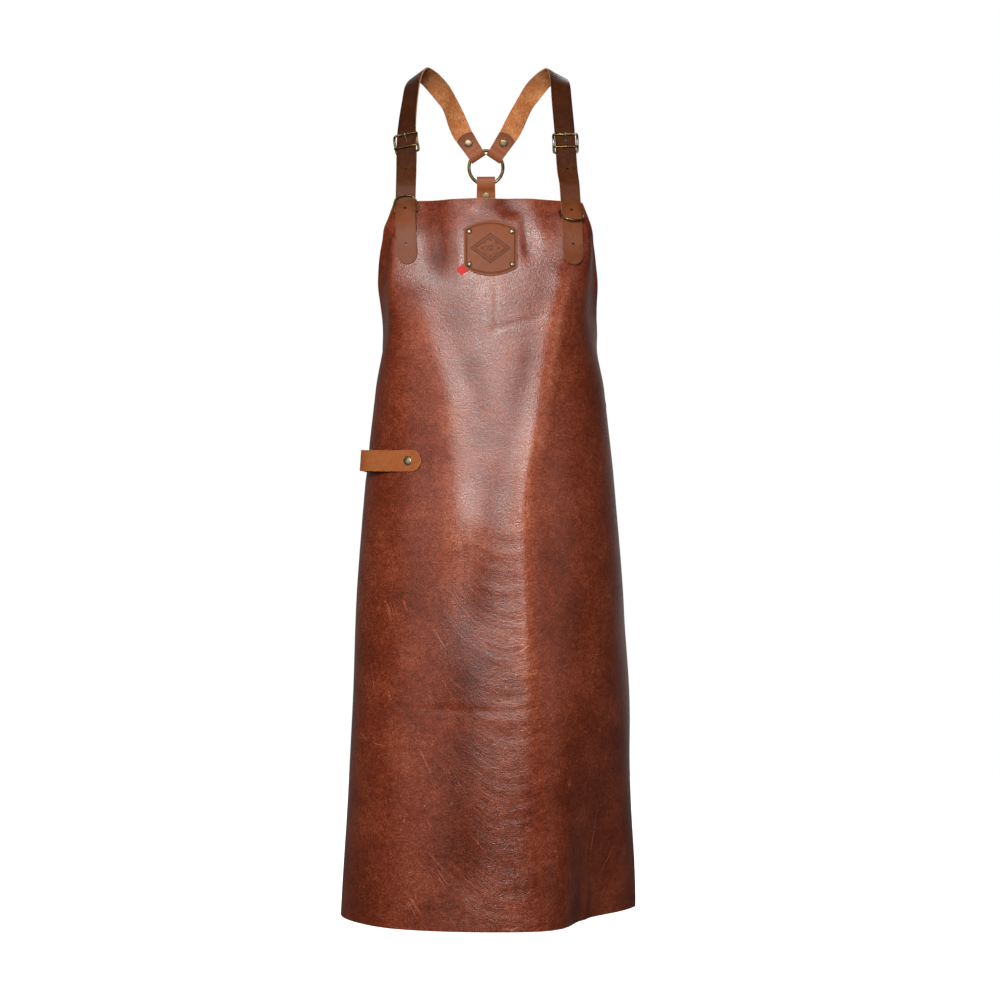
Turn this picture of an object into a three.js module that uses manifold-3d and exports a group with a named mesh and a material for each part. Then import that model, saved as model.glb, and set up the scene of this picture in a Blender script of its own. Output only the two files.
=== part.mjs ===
// Leather bib apron in its worn form, in millimetres, +Z up, facing -Y, with the origin midway between the
// tops of the two shoulder straps. Its leather is bent from flat sheets, and its straps follow routes.
import * as THREE from "three";
import { mergeVertices } from "three/addons/utils/BufferGeometryUtils.js";
import openManifold from "manifold-3d";

const wasm = await openManifold();
wasm.setup();

const V = (x, y, z) => new THREE.Vector3(x, y, z);

// Clearances and thicknesses
const GAP = 0.3;
const PANEL_THICK = 1.6;
const STRAP_THICK = 2.2;
const UNDER_THICK = 1.6;
const PATCH_THICK = 2.2;
const RIBBON_THICK = 0.5;

// Straps
const STRAP_WIDTH = 29.5;
const SHOULDER_FOLD = { width: 24.5, slack: 0.8, seat: 28, flap: 9, bow: 6, rest: 46 };
const BACK_FOLD = { width: 27.5, slack: 3, seat: 28.5, flap: 1, rest: 46 };
const UNDER_WIDTH = 25;
const LOOP_WIDTH = 30.5;
const UNDER_FLAP = 26;
const HOLE_RADIUS = 1.8;
const HOLE_DROPS = [16, 66];
const UPPER_HOLE_Z = -151;

// Panel
const BIB_TOP = -193;
const PANEL_LENGTH = 1047;
const TOP_ARCH = 2.5;
const ARCH_FADE = 160;

// Metalwork
const RING_RADIUS = 25.7;
const RING_WIRE = 2.5;
const RING_CENTRE = V(-4, 100, -122);
const RING_TILT = 10;
const RING_SPREAD = 39;
const STRAP_LEAN = 33.5;
const BUCKLE_WIDTH = 34.6;
const BUCKLE_HEIGHT = 25;
const BUCKLE_WIRE = 1.6;
const KEEPER_DROP = 21;
const PRONG_WIRE = 1.3;
const D_WIDTH = 36.4;
const D_REACH = 25;
const D_WIRE = 1.35;
const D_DROP = 16.5;
const D_LEAN_LEFT = 29;
const D_LEAN_RIGHT = 36;

// Rivets: cap radius, cap height, shank radius, rear cap radius
const RIVET_STRAP = { cap: 6, rise: 2.2, shank: 1.6, rear: 5 };
const RIVET_BIB = { cap: 4.5, rise: 1.5, shank: 1.5, rear: 5 };
const RIVET_LOOP = { cap: 6.8, rise: 2.4, shank: 1.7, rear: 5.5 };
const RIVET_PATCH = { cap: 3.7, rise: 2.9, shank: 1.1, rear: 3 };
const CURVE_ROOM = 0.4;
const BIB_RIVET_DROP = 44;

// Panel sections. Each row is one level of one half: its drop below the top edge, then four places along
// the leather, each with its distance from the centre line and the degrees by which it has turned back.
const LEFT_HALF = [
  { drop: 0, chest: [70, 7], crease: [112, 13], side: [128, 18], edge: [138, 24] },
  { drop: 28, chest: [100, 9], crease: [131, 20], side: [146, 50], edge: [155, 50] },
  { drop: 62, chest: [131, 12], crease: [149, 82], side: [162, 58], edge: [178, 48] },
  { drop: 110, chest: [131, 14], crease: [158, 87], side: [178, 68], edge: [204, 60] },
  { drop: 150, chest: [126, 20], crease: [164, 84], side: [192, 78], edge: [224, 70] },
  { drop: 195, chest: [115, 25], crease: [168, 74], side: [208, 85], edge: [250, 81] },
  { drop: 270, chest: [105, 26], crease: [172, 62], side: [235, 87], edge: [316, 106] },
  { drop: 400, chest: [95, 24], crease: [178, 55], side: [245, 83], edge: [318, 102] },
  { drop: 600, chest: [95, 22], crease: [182, 51], side: [250, 77], edge: [320, 97] },
  { drop: 800, chest: [105, 22], crease: [184, 49], side: [250, 74], edge: [318, 94] },
  { drop: 1047, chest: [118, 23], crease: [186, 48], side: [252, 66], edge: [318, 92] },
];

const RIGHT_HALF = [
  { drop: 0, chest: [70, 6], crease: [112, 12], side: [128, 18], edge: [138, 24] },
  { drop: 28, chest: [100, 7], crease: [131, 20], side: [146, 52], edge: [155, 50] },
  { drop: 62, chest: [118, 8], crease: [142, 37], side: [164, 86], edge: [180, 61] },
  { drop: 110, chest: [84, 8], crease: [126, 35], side: [176, 75], edge: [206, 60] },
  { drop: 150, chest: [70, 8], crease: [114, 35], side: [184, 74], edge: [224, 69] },
  { drop: 195, chest: [62, 6], crease: [106, 36], side: [196, 74], edge: [250, 84] },
  { drop: 270, chest: [52, 5], crease: [96, 32], side: [204, 68], edge: [316, 117] },
  { drop: 400, chest: [42, 4], crease: [88, 29], side: [208, 63], edge: [322, 101] },
  { drop: 600, chest: [38, 4], crease: [88, 28], side: [205, 58], edge: [334, 91] },
  { drop: 800, chest: [40, 4], crease: [140, 53], side: [245, 60], edge: [346, 86] },
  { drop: 1047, chest: [43, 4], crease: [155, 73], side: [275, 50], edge: [362, 72] },
];

// Depth of the centre line at each level
const FRONT_LINE = [
  { drop: 0, depth: -122 },
  { drop: 62, depth: -134 },
  { drop: 150, depth: -141 },
  { drop: 270, depth: -142 },
  { drop: 600, depth: -144 },
  { drop: 1047, depth: -150 },
];

// Shoulder strap route from the back to the bib: left and right distance out, depth, height, and the way
// its outer face looks: out from the centre, back, and up.
const SHOULDER_ROUTE = [
  { leftX: -60, rightX: 56, y: 65, z: -28, leftOut: 0.85, rightOut: 0.75, back: 0.72, up: 0.36 },
  { leftX: -81, rightX: 77, y: 37, z: -4, leftOut: 0.38, rightOut: 0.3, back: 0.44, up: 0.82 },
  { leftX: -92.5, rightX: 89.5, y: 19, z: 4, leftOut: 0.42, rightOut: 0.36, back: 0.2, up: 0.88 },
  { leftX: -101.5, rightX: 98.5, y: 2, z: 5, leftOut: 0.56, rightOut: 0.45, back: -0.05, up: 0.83 },
  { leftX: -110, rightX: 105, y: -24, z: -11.5, leftOut: 0.62, rightOut: 0.2, back: -0.55, up: 0.56 },
  { leftX: -114.3, rightX: 107.2, y: -47, z: -42, leftOut: 0.62, rightOut: 0.08, back: -0.72, up: 0.38 },
  { leftX: -117.5, rightX: 109.8, y: -68, z: -78, leftOut: 0.5, rightOut: 0.05, back: -0.82, up: 0.32 },
];
const BUCKLE_PLACE = {
  leftX: -118.2, rightX: 111.5, y: -81, z: -104, leftOut: 0.36, rightOut: 0.04, back: -0.9, up: 0.33,
};
const BELOW_BUCKLE = {
  leftX: -117.5, rightX: 114, y: -102, z: -150, leftOut: 0.2, rightOut: 0.06, back: -0.93, up: 0.3,
};

// Tail on the bib: drop, distance of the strap's middle from the panel, and distance along the leather
const TAIL_ROUTE = [
  { drop: -22, stand: 4.4, leftAt: 117.5, rightAt: 116.5 },
  { drop: 0, stand: 6.6, leftAt: 117.5, rightAt: 117.4 },
  { drop: 16.5, stand: 7, leftAt: 117.5, rightAt: 118.5 },
  { drop: 42, stand: 6, leftAt: 117, rightAt: 119.5 },
  { drop: 62, stand: 4, leftAt: 116.5, rightAt: 121 },
  { drop: 79, stand: 2.6, leftAt: 115.5, rightAt: 122 },
];

// Waist: its level, the plan line of the straps behind the body, and the clasp's place and length
const WAIST_DROP = 290;
const WAIST_SEATS = [20, 10, 0];
const WAIST_RIVET_IN = 14;
const WAIST_Z = BIB_TOP - WAIST_DROP;
const WAIST_LINE = [
  { x: -142, y: 96 },
  { x: -104, y: 119 },
  { x: -54, y: 131 },
  { x: 0, y: 134 },
  { x: 54, y: 131 },
  { x: 104, y: 119 },
  { x: 146, y: 96 },
];
const CLASP_X = 62;
const CLASP_LENGTH = 18;
const WAIST_END = 28;

// Back strap between the ring and the waist
const BACK_LINE = [
  { y: 111, z: -225 },
  { y: 121, z: -310 },
  { y: 131, z: -385 },
];

// Towel loop: distance along the leather and how far the strip's middle stands off it
const TOWEL_DROP = 376;
const TOWEL_ROUTE = [
  { along: -113, stand: 1.5 },
  { along: -128, stand: 1.6 },
  { along: -148, stand: 4.2 },
  { along: -170, stand: 9.5 },
  { along: -190, stand: 17 },
  { along: -204, stand: 18.5 },
  { along: -214, stand: 12 },
  { along: -225, stand: 4.4 },
  { along: -238, stand: 1.5 },
  { along: -256, stand: 1.5 },
];
const TOWEL_RIVETS = { front: -119, rear: -254 };

// Patch and its folded ribbon
const PATCH_AT = { along: 4, drop: 73 };
const PATCH_WIDTH = 77;
const PATCH_SIDE = 55;
const PATCH_BOW = 12.5;
const PATCH_RIVET = { across: 30.3, down: 23.6 };
const TAB_WIDTH = 11.5;
const TAB_LENGTH = 11;
const TAB_TUCK = 5;
const TAB_ANGLE = 35;

// Facets of the panel: columns across, and rows below each level of the tables
const PANEL_COLUMNS = 26;
const ROWS_BELOW_LEVEL = [3, 3, 2, 2, 2, 3, 3, 2, 2, 2];

const radians = (degrees) => (degrees * Math.PI) / 180;
const lerp = THREE.MathUtils.lerp;
const clamp = THREE.MathUtils.clamp;

// A smooth curve through a column of values that never overshoots them
function smooth(xs, ys, x) {
  const last = xs.length - 1;
  const at = clamp(x, xs[0], xs[last]);
  let i = 0;
  while (i < last - 1 && at > xs[i + 1]) i += 1;
  const slope = (k) => (ys[k + 1] - ys[k]) / (xs[k + 1] - xs[k]);
  const lean = (k) => {
    if (k === 0) return slope(0);
    if (k === last) return slope(last - 1);
    const before = slope(k - 1);
    const after = slope(k);
    return before * after <= 0 ? 0 : (2 * before * after) / (before + after);
  };
  const width = xs[i + 1] - xs[i];
  const t = (at - xs[i]) / width;
  const a = (1 + 2 * t) * (1 - t) * (1 - t);
  const b = t * t * (3 - 2 * t);
  const c = t * (1 - t) * (1 - t);
  const d = t * t * (t - 1);
  return a * ys[i] + b * ys[i + 1] + width * (c * lean(i) + d * lean(i + 1));
}

// A table's column at any drop; part picks the distance (0) or the turn (1) of a place on the panel
function column(rows, name, drop, part) {
  const values = rows.map((r) => (part === undefined ? r[name] : r[name][part]));
  return smooth(rows.map((r) => r.drop), values, drop);
}

const PLACES = ["chest", "crease", "side", "edge"];

const halfAt = (rows, drop) => ({
  at: [0, ...PLACES.map((place) => column(rows, place, drop, 0))],
  turn: [0, ...PLACES.map((place) => column(rows, place, drop, 1))],
});

const edgeAt = (side, drop) => column(side < 0 ? LEFT_HALF : RIGHT_HALF, "edge", drop, 0);

// Outer face of the panel at a signed distance along the leather and a drop below the top edge
function panelFace(along, drop) {
  const side = along < 0 ? -1 : 1;
  const level = clamp(drop, 0, PANEL_LENGTH);
  const half = halfAt(side < 0 ? LEFT_HALF : RIGHT_HALF, level);
  const reach = Math.abs(along);
  const steps = Math.max(4, Math.ceil(reach / 3));
  let out = 0;
  let back = 0;
  for (let i = 0; i < steps; i += 1) {
    const turn = radians(smooth(half.at, half.turn, ((i + 0.5) * reach) / steps));
    out += (Math.cos(turn) * reach) / steps;
    back += (Math.sin(turn) * reach) / steps;
  }
  const arch = TOP_ARCH * (reach / 100) ** 2 * Math.max(0, 1 - level / ARCH_FADE);
  return V(side * out, column(FRONT_LINE, "depth", level) + back, BIB_TOP - drop - arch);
}

function panelNormal(along, drop) {
  const step = 1;
  const level = clamp(drop, step, PANEL_LENGTH - step);
  const across = panelFace(along + step, level).sub(panelFace(along - step, level));
  const down = panelFace(along, level + step).sub(panelFace(along, level - step));
  return down.cross(across).normalize();
}

function onPanel(along, drop, stand) {
  return panelFace(along, drop).addScaledVector(panelNormal(along, drop), stand);
}

// A flat sheet of columns and rows, bent by a function of across, along and through (each 0 to 1)
function bend(columns, rows, place) {
  const sheet = new THREE.BoxGeometry(1, 1, 1, columns, rows, 1);
  const points = sheet.getAttribute("position");
  for (let i = 0; i < points.count; i += 1) {
    const p = place(points.getX(i) + 0.5, points.getY(i) + 0.5, points.getZ(i) + 0.5);
    points.setXYZ(i, p.x, p.y, p.z);
  }
  return sheet;
}

// Frames along a route: each station is a point and the way the outer face looks
function route(stations, steps) {
  const line = new THREE.CatmullRomCurve3(stations.map((s) => s.p), false, "centripetal");
  const looks = new THREE.CatmullRomCurve3(stations.map((s) => s.n), false, "centripetal");
  const count = (stations.length - 1) * steps;
  const points = [];
  for (let i = 0; i <= count; i += 1) {
    points.push(line.getPoint(i / count));
  }
  return points.map((p, i) => {
    const ahead = points[Math.min(i + 1, count)].clone().sub(points[Math.max(i - 1, 0)]).normalize();
    const wide = ahead.clone().cross(looks.getPoint(i / count)).normalize();
    return { p, wide, face: wide.clone().cross(ahead), ahead };
  });
}

// Adds close-set frames at an end of a route so that the strap's end is rounded
function roundEnd(frames, width, atStart, reach = width / 2) {
  const list = atStart ? frames.slice().reverse() : frames.slice();
  const tip = list.pop();
  const way = atStart ? -1 : 1;
  for (const angle of [0, 30, 52, 70, 82]) {
    const ahead = tip.ahead.clone().multiplyScalar(way * reach * Math.sin(radians(angle)));
    list.push({ ...tip, p: tip.p.clone().add(ahead), width: width * Math.cos(radians(angle)) });
  }
  return atStart ? list.reverse() : list;
}

function strap(frames, width, thick, columns = 1) {
  const last = frames.length - 1;
  return bend(columns, last, (u, v, w) => {
    const f = frames[Math.round(v * last)];
    return f.p.clone()
      .addScaledVector(f.wide, (u - 0.5) * (f.width ?? width))
      .addScaledVector(f.face, (w - 0.5) * thick);
  });
}

// Solids that are cut or joined
function solid(geometry) {
  const bare = new THREE.BufferGeometry();
  bare.setAttribute("position", geometry.getAttribute("position").clone());
  const count = geometry.getAttribute("position").count;
  bare.setIndex(geometry.index ? geometry.index.clone() : [...Array(count).keys()]);
  const welded = mergeVertices(bare, 1e-4);
  const mesh = new wasm.Mesh({
    numProp: 3,
    vertProperties: new Float32Array(welded.getAttribute("position").array),
    triVerts: new Uint32Array(welded.index.array),
  });
  mesh.merge();
  return new wasm.Manifold(mesh);
}

function plain(body) {
  const mesh = body.getMesh();
  const geometry = new THREE.BufferGeometry();
  geometry.setAttribute("position", new THREE.Float32BufferAttribute(mesh.vertProperties, 3));
  geometry.setIndex([...mesh.triVerts]);
  return geometry;
}

function cut(geometry, cutters) {
  return plain(cutters.reduce((body, cutter) => body.subtract(solid(cutter)), solid(geometry)));
}

function join([first, ...others]) {
  return plain(others.reduce((body, other) => body.add(solid(other)), solid(first)));
}

// Places a shape made along +Y so that +Y looks along an axis
function aim(geometry, point, axis) {
  const turn = new THREE.Quaternion().setFromUnitVectors(V(0, 1, 0), axis.clone().normalize());
  geometry.applyQuaternion(turn);
  return geometry.translate(point.x, point.y, point.z);
}

// Places a shape made with X across, Y along and Z out in a strap's frame
function inFrame(geometry, f) {
  const basis = new THREE.Matrix4().makeBasis(f.wide, f.ahead, f.face);
  return geometry.applyMatrix4(basis.setPosition(f.p));
}

function bore(point, axis, radius, depth) {
  return aim(new THREE.CylinderGeometry(radius, radius, depth, 8), point, axis);
}

// A rivet: domed cap on the outer face at a point, shank through the leather, rear cap a grip away
function rivet(size, point, axis, grip, around = 8) {
  const rear = 0.8;
  const profile = [
    [0, -grip - rear], [size.rear, -grip - rear], [size.rear, -grip], [size.shank, -grip],
    [size.shank, 0], [size.cap, 0], [size.cap * 0.93, size.rise * 0.45], [size.cap * 0.6, size.rise * 0.85],
    [0, size.rise],
  ].map(([r, h]) => new THREE.Vector2(r, h));
  return aim(new THREE.LatheGeometry(profile, around), point, axis);
}

// A wire bent to a closed loop through points
function wireLoop(points, radius, steps, sides = 8) {
  const path = new THREE.CatmullRomCurve3(points, true, "centripetal");
  return new THREE.TubeGeometry(path, steps, radius, sides, true);
}

// A wire with two ends
function wire(points, radius, steps, sides = 8) {
  const ring = new THREE.Shape();
  ring.absarc(0, 0, radius, 0, 2 * Math.PI);
  const extrudePath = new THREE.CatmullRomCurve3(points);
  return new THREE.ExtrudeGeometry(ring, { steps, extrudePath, curveSegments: sides / 2 });
}

// Stations of a strap end folded round a bar: from the flap's end, round the fold, and along the strap.
// The fold lies a distance along a direction from a centre; out is the strap's outer side.
function folded(centre, along, out, { fold, half, straight, seat, flap, rest }) {
  const close = (STRAP_THICK + GAP) / 2;
  const spot = (a, b) => centre.clone().addScaledVector(along, fold + a).addScaledVector(out, b);
  const at = (a, b, n) => ({ p: spot(a, b), n });
  const arm = (sign, n) => [
    at(seat - 4, sign * close, n),
    at(straight + 7, sign * (close + 0.35), n),
    at(straight, sign * half, n),
    at(half, sign * half, n),
  ];
  const turn = [45, 90, 135].map((deg) => {
    const lean = radians(deg);
    const n = along.clone().multiplyScalar(-Math.sin(lean)).addScaledVector(out, -Math.cos(lean));
    return { p: spot(half, 0).addScaledVector(n, half), n };
  });
  const inner = out.clone().negate();
  const outer = arm(1, out).reverse();
  const flapEnd = at(seat + flap, -close, inner);
  return [flapEnd, ...arm(-1, inner), ...turn, ...outer, at(seat + 9, close, out), at(rest, close, out)];
}

const apron = new THREE.Group();
const PANEL_LEATHER = { color: 0x7a3f26, roughness: 0.45, metalness: 0 };
const STRAP_LEATHER = { color: 0x6b3a22, roughness: 0.45, metalness: 0 };
const TAN_LEATHER = { color: 0x8f5432, roughness: 0.45, metalness: 0 };
const BRASS = { color: 0x8a7350, roughness: 0.35, metalness: 1 };
const PALE_BRASS = { color: 0xb9a37c, roughness: 0.35, metalness: 1 };
const RIBBON = { color: 0xd8322c, roughness: 0.7, metalness: 0 };

function add(name, geometry, look) {
  const mesh = new THREE.Mesh(geometry, new THREE.MeshStandardMaterial(look));
  mesh.name = name;
  apron.add(mesh);
}

// Back ring, leaning with the upper back
const ringUp = V(0, -Math.sin(radians(RING_TILT)), Math.cos(radians(RING_TILT)));
const ringOut = V(0, Math.cos(radians(RING_TILT)), Math.sin(radians(RING_TILT)));
const ring = new THREE.TorusGeometry(RING_RADIUS, RING_WIRE, 6, 28).rotateX(Math.PI / 2);
add("back_ring", aim(ring, RING_CENTRE, ringOut), BRASS);

// Where a strap folds over the ring: its edges ride lower on the round wire than its middle
function ringFold({ width, slack, seat, flap, rest }) {
  const touch = Math.sqrt(RING_RADIUS ** 2 - (width / 2) ** 2) - RING_WIRE;
  const fold = touch - GAP - STRAP_THICK / 2 - 0.5 - slack;
  const half = RING_WIRE + GAP + STRAP_THICK / 2 + 0.3;
  return { fold, half, straight: RING_RADIUS - fold + RING_WIRE, seat, flap, rest };
}

// Straps draw in a little where they turn round the ring
function drawIn(frames, foldWidth) {
  return frames.map((f) => {
    const far = clamp((f.p.distanceTo(RING_CENTRE) - RING_RADIUS) / 40, 0, 1);
    return { ...f, width: lerp(foldWidth, STRAP_WIDTH, far) };
  });
}

const panelCuts = [];

// Shoulder straps with their buckles, buckle straps and D-rings
for (const side of [-1, 1]) {
  const word = side < 0 ? "left" : "right";
  const looks = (row) => V(side * row[word + "Out"], row.back, row.up).normalize();
  const station = (row) => ({ p: V(row[word + "X"], row.y, row.z), n: looks(row) });
  const fromTop = (angle) => {
    const upward = ringUp.clone().multiplyScalar(Math.cos(radians(angle)));
    return upward.setX(side * Math.sin(radians(angle)));
  };
  const alongStrap = fromTop(STRAP_LEAN);
  const onBib = (row) => {
    const at = side * row[word + "At"];
    return { p: onPanel(at, row.drop, row.stand), n: panelNormal(at, Math.max(row.drop, 2)) };
  };
  const turnBack = ringFold(SHOULDER_FOLD);
  const foldCentre = RING_CENTRE.clone().addScaledVector(fromTop(RING_SPREAD), turnBack.fold)
    .addScaledVector(alongStrap, -turnBack.fold);
  const stations = [
    ...folded(foldCentre, alongStrap, ringOut, turnBack),
    ...SHOULDER_ROUTE.map(station),
    station(BUCKLE_PLACE),
    station(BELOW_BUCKLE),
    ...TAIL_ROUTE.map(onBib),
  ];
  const frames = drawIn(route(stations, 2), SHOULDER_FOLD.width);
  const atBuckle = frames[2 * (stations.length - TAIL_ROUTE.length - 2)];
  const here = { p: atBuckle.p, face: atBuckle.face };
  here.wide = atBuckle.wide.clone().negate();
  here.ahead = atBuckle.ahead.clone().negate();
  const flapped = roundEnd(frames, frames[0].width, true, SHOULDER_FOLD.bow);
  const rounded = roundEnd(flapped, STRAP_WIDTH, false);

  // Buckle frame: top bar before the strap, sides running back, foot bar behind it, keeper bar before it
  const barFront = STRAP_THICK / 2 + GAP + BUCKLE_WIRE + 0.2;
  const barRear = -(STRAP_THICK / 2 + 3 * GAP + UNDER_THICK + BUCKLE_WIRE + 1);
  const half = BUCKLE_WIDTH / 2;
  const bottom = 7 - BUCKLE_HEIGHT;
  const corner = 2.6;
  const depthAt = (y) => lerp(barRear, barFront, clamp((y - bottom) / (BUCKLE_HEIGHT * 0.55), 0, 1));
  const loop = [
    [-half + corner, 7], [0, 7], [half - corner, 7], [half - 0.7, 6.3], [half, 7 - corner], [half, -2],
    [half, -10], [half, bottom + corner], [half - 0.7, bottom + 0.7], [half - corner, bottom], [0, bottom],
    [-half + corner, bottom], [-half + 0.7, bottom + 0.7], [-half, bottom + corner], [-half, -10],
    [-half, -2], [-half, 7 - corner], [-half + 0.7, 6.3],
  ].map(([x, y]) => V(x, y, depthAt(y)));
  const keeperY = 7 - KEEPER_DROP;
  const keeper = wire([
    V(-half, keeperY + 3, depthAt(keeperY + 3)), V(-half + 0.4, keeperY + 0.6, barFront - 1.2),
    V(-half + 3, keeperY, barFront), V(half - 3, keeperY, barFront),
    V(half - 0.4, keeperY + 0.6, barFront - 1.2), V(half, keeperY + 3, depthAt(keeperY + 3)),
  ], 1.35, 9, 6);
  const frameShape = inFrame(join([wireLoop(loop, BUCKLE_WIRE, 26, 6), keeper]), here);
  add("buckle_frame_" + word, frameShape, BRASS);

  // Prong: an eye round the foot bar, then up through the strap and over the top bar
  const eyeInner = BUCKLE_WIRE + GAP;
  const eyeOuter = eyeInner + 1.5;
  const eyeProfile = [
    [eyeInner, -1.6], [eyeOuter, -1.6], [eyeOuter, 1.6], [eyeInner, 1.6], [eyeInner, -1.6],
  ].map(([r, h]) => new THREE.Vector2(r, h));
  const eye = new THREE.LatheGeometry(eyeProfile, 12);
  const prongLine = [
    V(0, bottom + 1.4, barRear + eyeInner + 0.8), V(0, bottom + 7, barRear + 2.6), V(0, -5, -2.6),
    V(0, 0, 1.4), V(0, 4, barFront + 2.6), V(0, 7, barFront + BUCKLE_WIRE + PRONG_WIRE + GAP),
    V(0, 9.2, barFront + 2.9),
  ];
  const prongShape = () => [
    eye.clone().rotateZ(Math.PI / 2).translate(0, bottom, barRear),
    wire(prongLine, PRONG_WIRE, 9, 6),
  ];
  add("buckle_prong_" + word, inFrame(join(prongShape()), here), BRASS);

  // Shoulder strap with its holes, the rivet in the fold and room for the prong
  const prongRoom = inFrame(wire(prongLine, PRONG_WIRE + GAP + 0.15, 9, 6), here);
  const holes = HOLE_DROPS.map((drop) => {
    const at = side * column(TAIL_ROUTE, word + "At", drop);
    return bore(onPanel(at, drop, 6), panelNormal(at, drop), HOLE_RADIUS, 14);
  });
  const fromUpper = (f) => Math.abs(f.p.z - UPPER_HOLE_Z) + (f.p.y > 0 ? 1000 : 0);
  const upper = frames.reduce((a, b) => (fromUpper(b) < fromUpper(a) ? b : a));
  holes.push(bore(upper.p, upper.face, HOLE_RADIUS, 8));
  const rivetAt = foldCentre.clone().addScaledVector(alongStrap, turnBack.fold + turnBack.seat);
  const strapRivetHole = bore(rivetAt, ringOut, RIVET_STRAP.shank + GAP, 14);
  const strapShape = cut(strap(rounded, STRAP_WIDTH, STRAP_THICK), [...holes, strapRivetHole, prongRoom]);
  add("shoulder_strap_" + word, strapShape, STRAP_LEATHER);
  const ringGrip = 2 * STRAP_THICK + 3 * GAP;
  const capSeat = rivetAt.clone().addScaledVector(ringOut, -ringGrip / 2);
  const shoulderRivet = rivet(RIVET_STRAP, capSeat, ringOut.clone().negate(), ringGrip);
  add("shoulder_rivet_" + word, shoulderRivet, PALE_BRASS);

  // Buckle strap: folded over the foot bar, its long layer riveted to the bib behind the tail
  const foot = here.p.clone().addScaledVector(here.ahead, bottom).addScaledVector(here.face, barRear);
  const bendRadius = BUCKLE_WIRE + GAP + UNDER_THICK / 2;
  const underAt = (drop, stand) => {
    const at = side * column(TAIL_ROUTE, word + "At", drop);
    return { p: onPanel(at, drop, stand), n: panelNormal(at, Math.max(drop, 2)) };
  };
  const overBar = [180, 135, 90, 45, 0].map((deg) => {
    const turn = radians(deg);
    const n = here.ahead.clone().multiplyScalar(Math.sin(turn)).addScaledVector(here.face, Math.cos(turn));
    return { p: foot.clone().addScaledVector(n, bendRadius), n };
  });
  const rearEnd = { p: overBar[0].p.clone().addScaledVector(here.ahead, -UNDER_FLAP), n: overBar[0].n };
  const behindTail = STRAP_THICK / 2 + 2 * GAP + UNDER_THICK / 2 + 0.6;
  const hanging = frames
    .filter((f) => f.p.y < -60 && f.p.z < foot.z - 10 && f.p.z > BIB_TOP - 10)
    .map((f) => ({ p: f.p.clone().addScaledVector(f.face, -behindTail), n: f.face }));
  const underStations = [
    rearEnd, ...overBar, ...hanging,
    underAt(D_DROP, 2 * D_WIRE + 2 * GAP + UNDER_THICK / 2 + 0.2),
    underAt(30, 2.2), underAt(38, GAP + UNDER_THICK / 2), underAt(50, GAP + UNDER_THICK / 2),
  ];
  const underFrames = route(underStations, 2);
  const bibAt = side * column(TAIL_ROUTE, word + "At", BIB_RIVET_DROP);
  const bibAxis = panelNormal(bibAt, BIB_RIVET_DROP);
  const bibHole = bore(onPanel(bibAt, BIB_RIVET_DROP, 0), bibAxis, RIVET_BIB.shank + GAP, 12);
  const prongSlot = new THREE.BoxGeometry(4.4, 12, 12).translate(0, bottom + 2.5, barRear);
  const underHoles = [bibHole, inFrame(prongSlot, here)];
  const underShape = cut(strap(underFrames, UNDER_WIDTH, UNDER_THICK), underHoles);
  add("buckle_strap_" + word, underShape, STRAP_LEATHER);
  panelCuts.push(bibHole);
  const bibSeat = onPanel(bibAt, BIB_RIVET_DROP, UNDER_THICK + 2 * GAP);
  const bibGrip = UNDER_THICK + PANEL_THICK + 3 * GAP + CURVE_ROOM;
  const bibRivet = rivet(RIVET_BIB, bibSeat, bibAxis, bibGrip, 6);
  add("bib_rivet_" + word, bibRivet, PALE_BRASS);

  // D-ring: straight bar between the panel and the buckle strap, bow before the tail
  const barAt = side * column(TAIL_ROUTE, word + "At", D_DROP);
  const barNormal = panelNormal(barAt, D_DROP);
  const barPoint = onPanel(barAt, D_DROP, D_WIRE + GAP + 0.1);
  const barAcross = onPanel(barAt + 2, D_DROP, 0).sub(onPanel(barAt - 2, D_DROP, 0)).normalize();
  const lean = side < 0 ? radians(D_LEAN_LEFT) : radians(180 - D_LEAN_RIGHT);
  const barUp = barNormal.clone().cross(barAcross);
  barUp.multiplyScalar(Math.sign(barUp.z));
  const swing = barUp.clone().multiplyScalar(Math.cos(lean)).addScaledVector(barNormal, Math.sin(lean));
  const wide = D_WIDTH / 2 - D_WIRE;
  const far = D_REACH - D_WIRE;
  const bow = [
    [-wide + 2, 0], [0, 0], [wide - 2, 0], [wide - 0.5, 0.5], [wide, 2], [wide, far * 0.5],
    [wide - 0.9, far * 0.76], [wide - 4.2, far * 0.93], [wide * 0.4, far], [-wide * 0.4, far],
    [-wide + 4.2, far * 0.93], [-wide + 0.9, far * 0.76], [-wide, far * 0.5], [-wide, 2],
    [-wide + 0.5, 0.5],
  ].map(([x, y]) => barPoint.clone().addScaledVector(barAcross, x).addScaledVector(swing, y));
  add("d_ring_" + word, wireLoop(bow, D_WIRE, 23, 6), BRASS);
}

// Waist straps: each is riveted to a rear corner of the panel and runs round behind the body
const layer = (STRAP_THICK + GAP) / 2;

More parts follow.
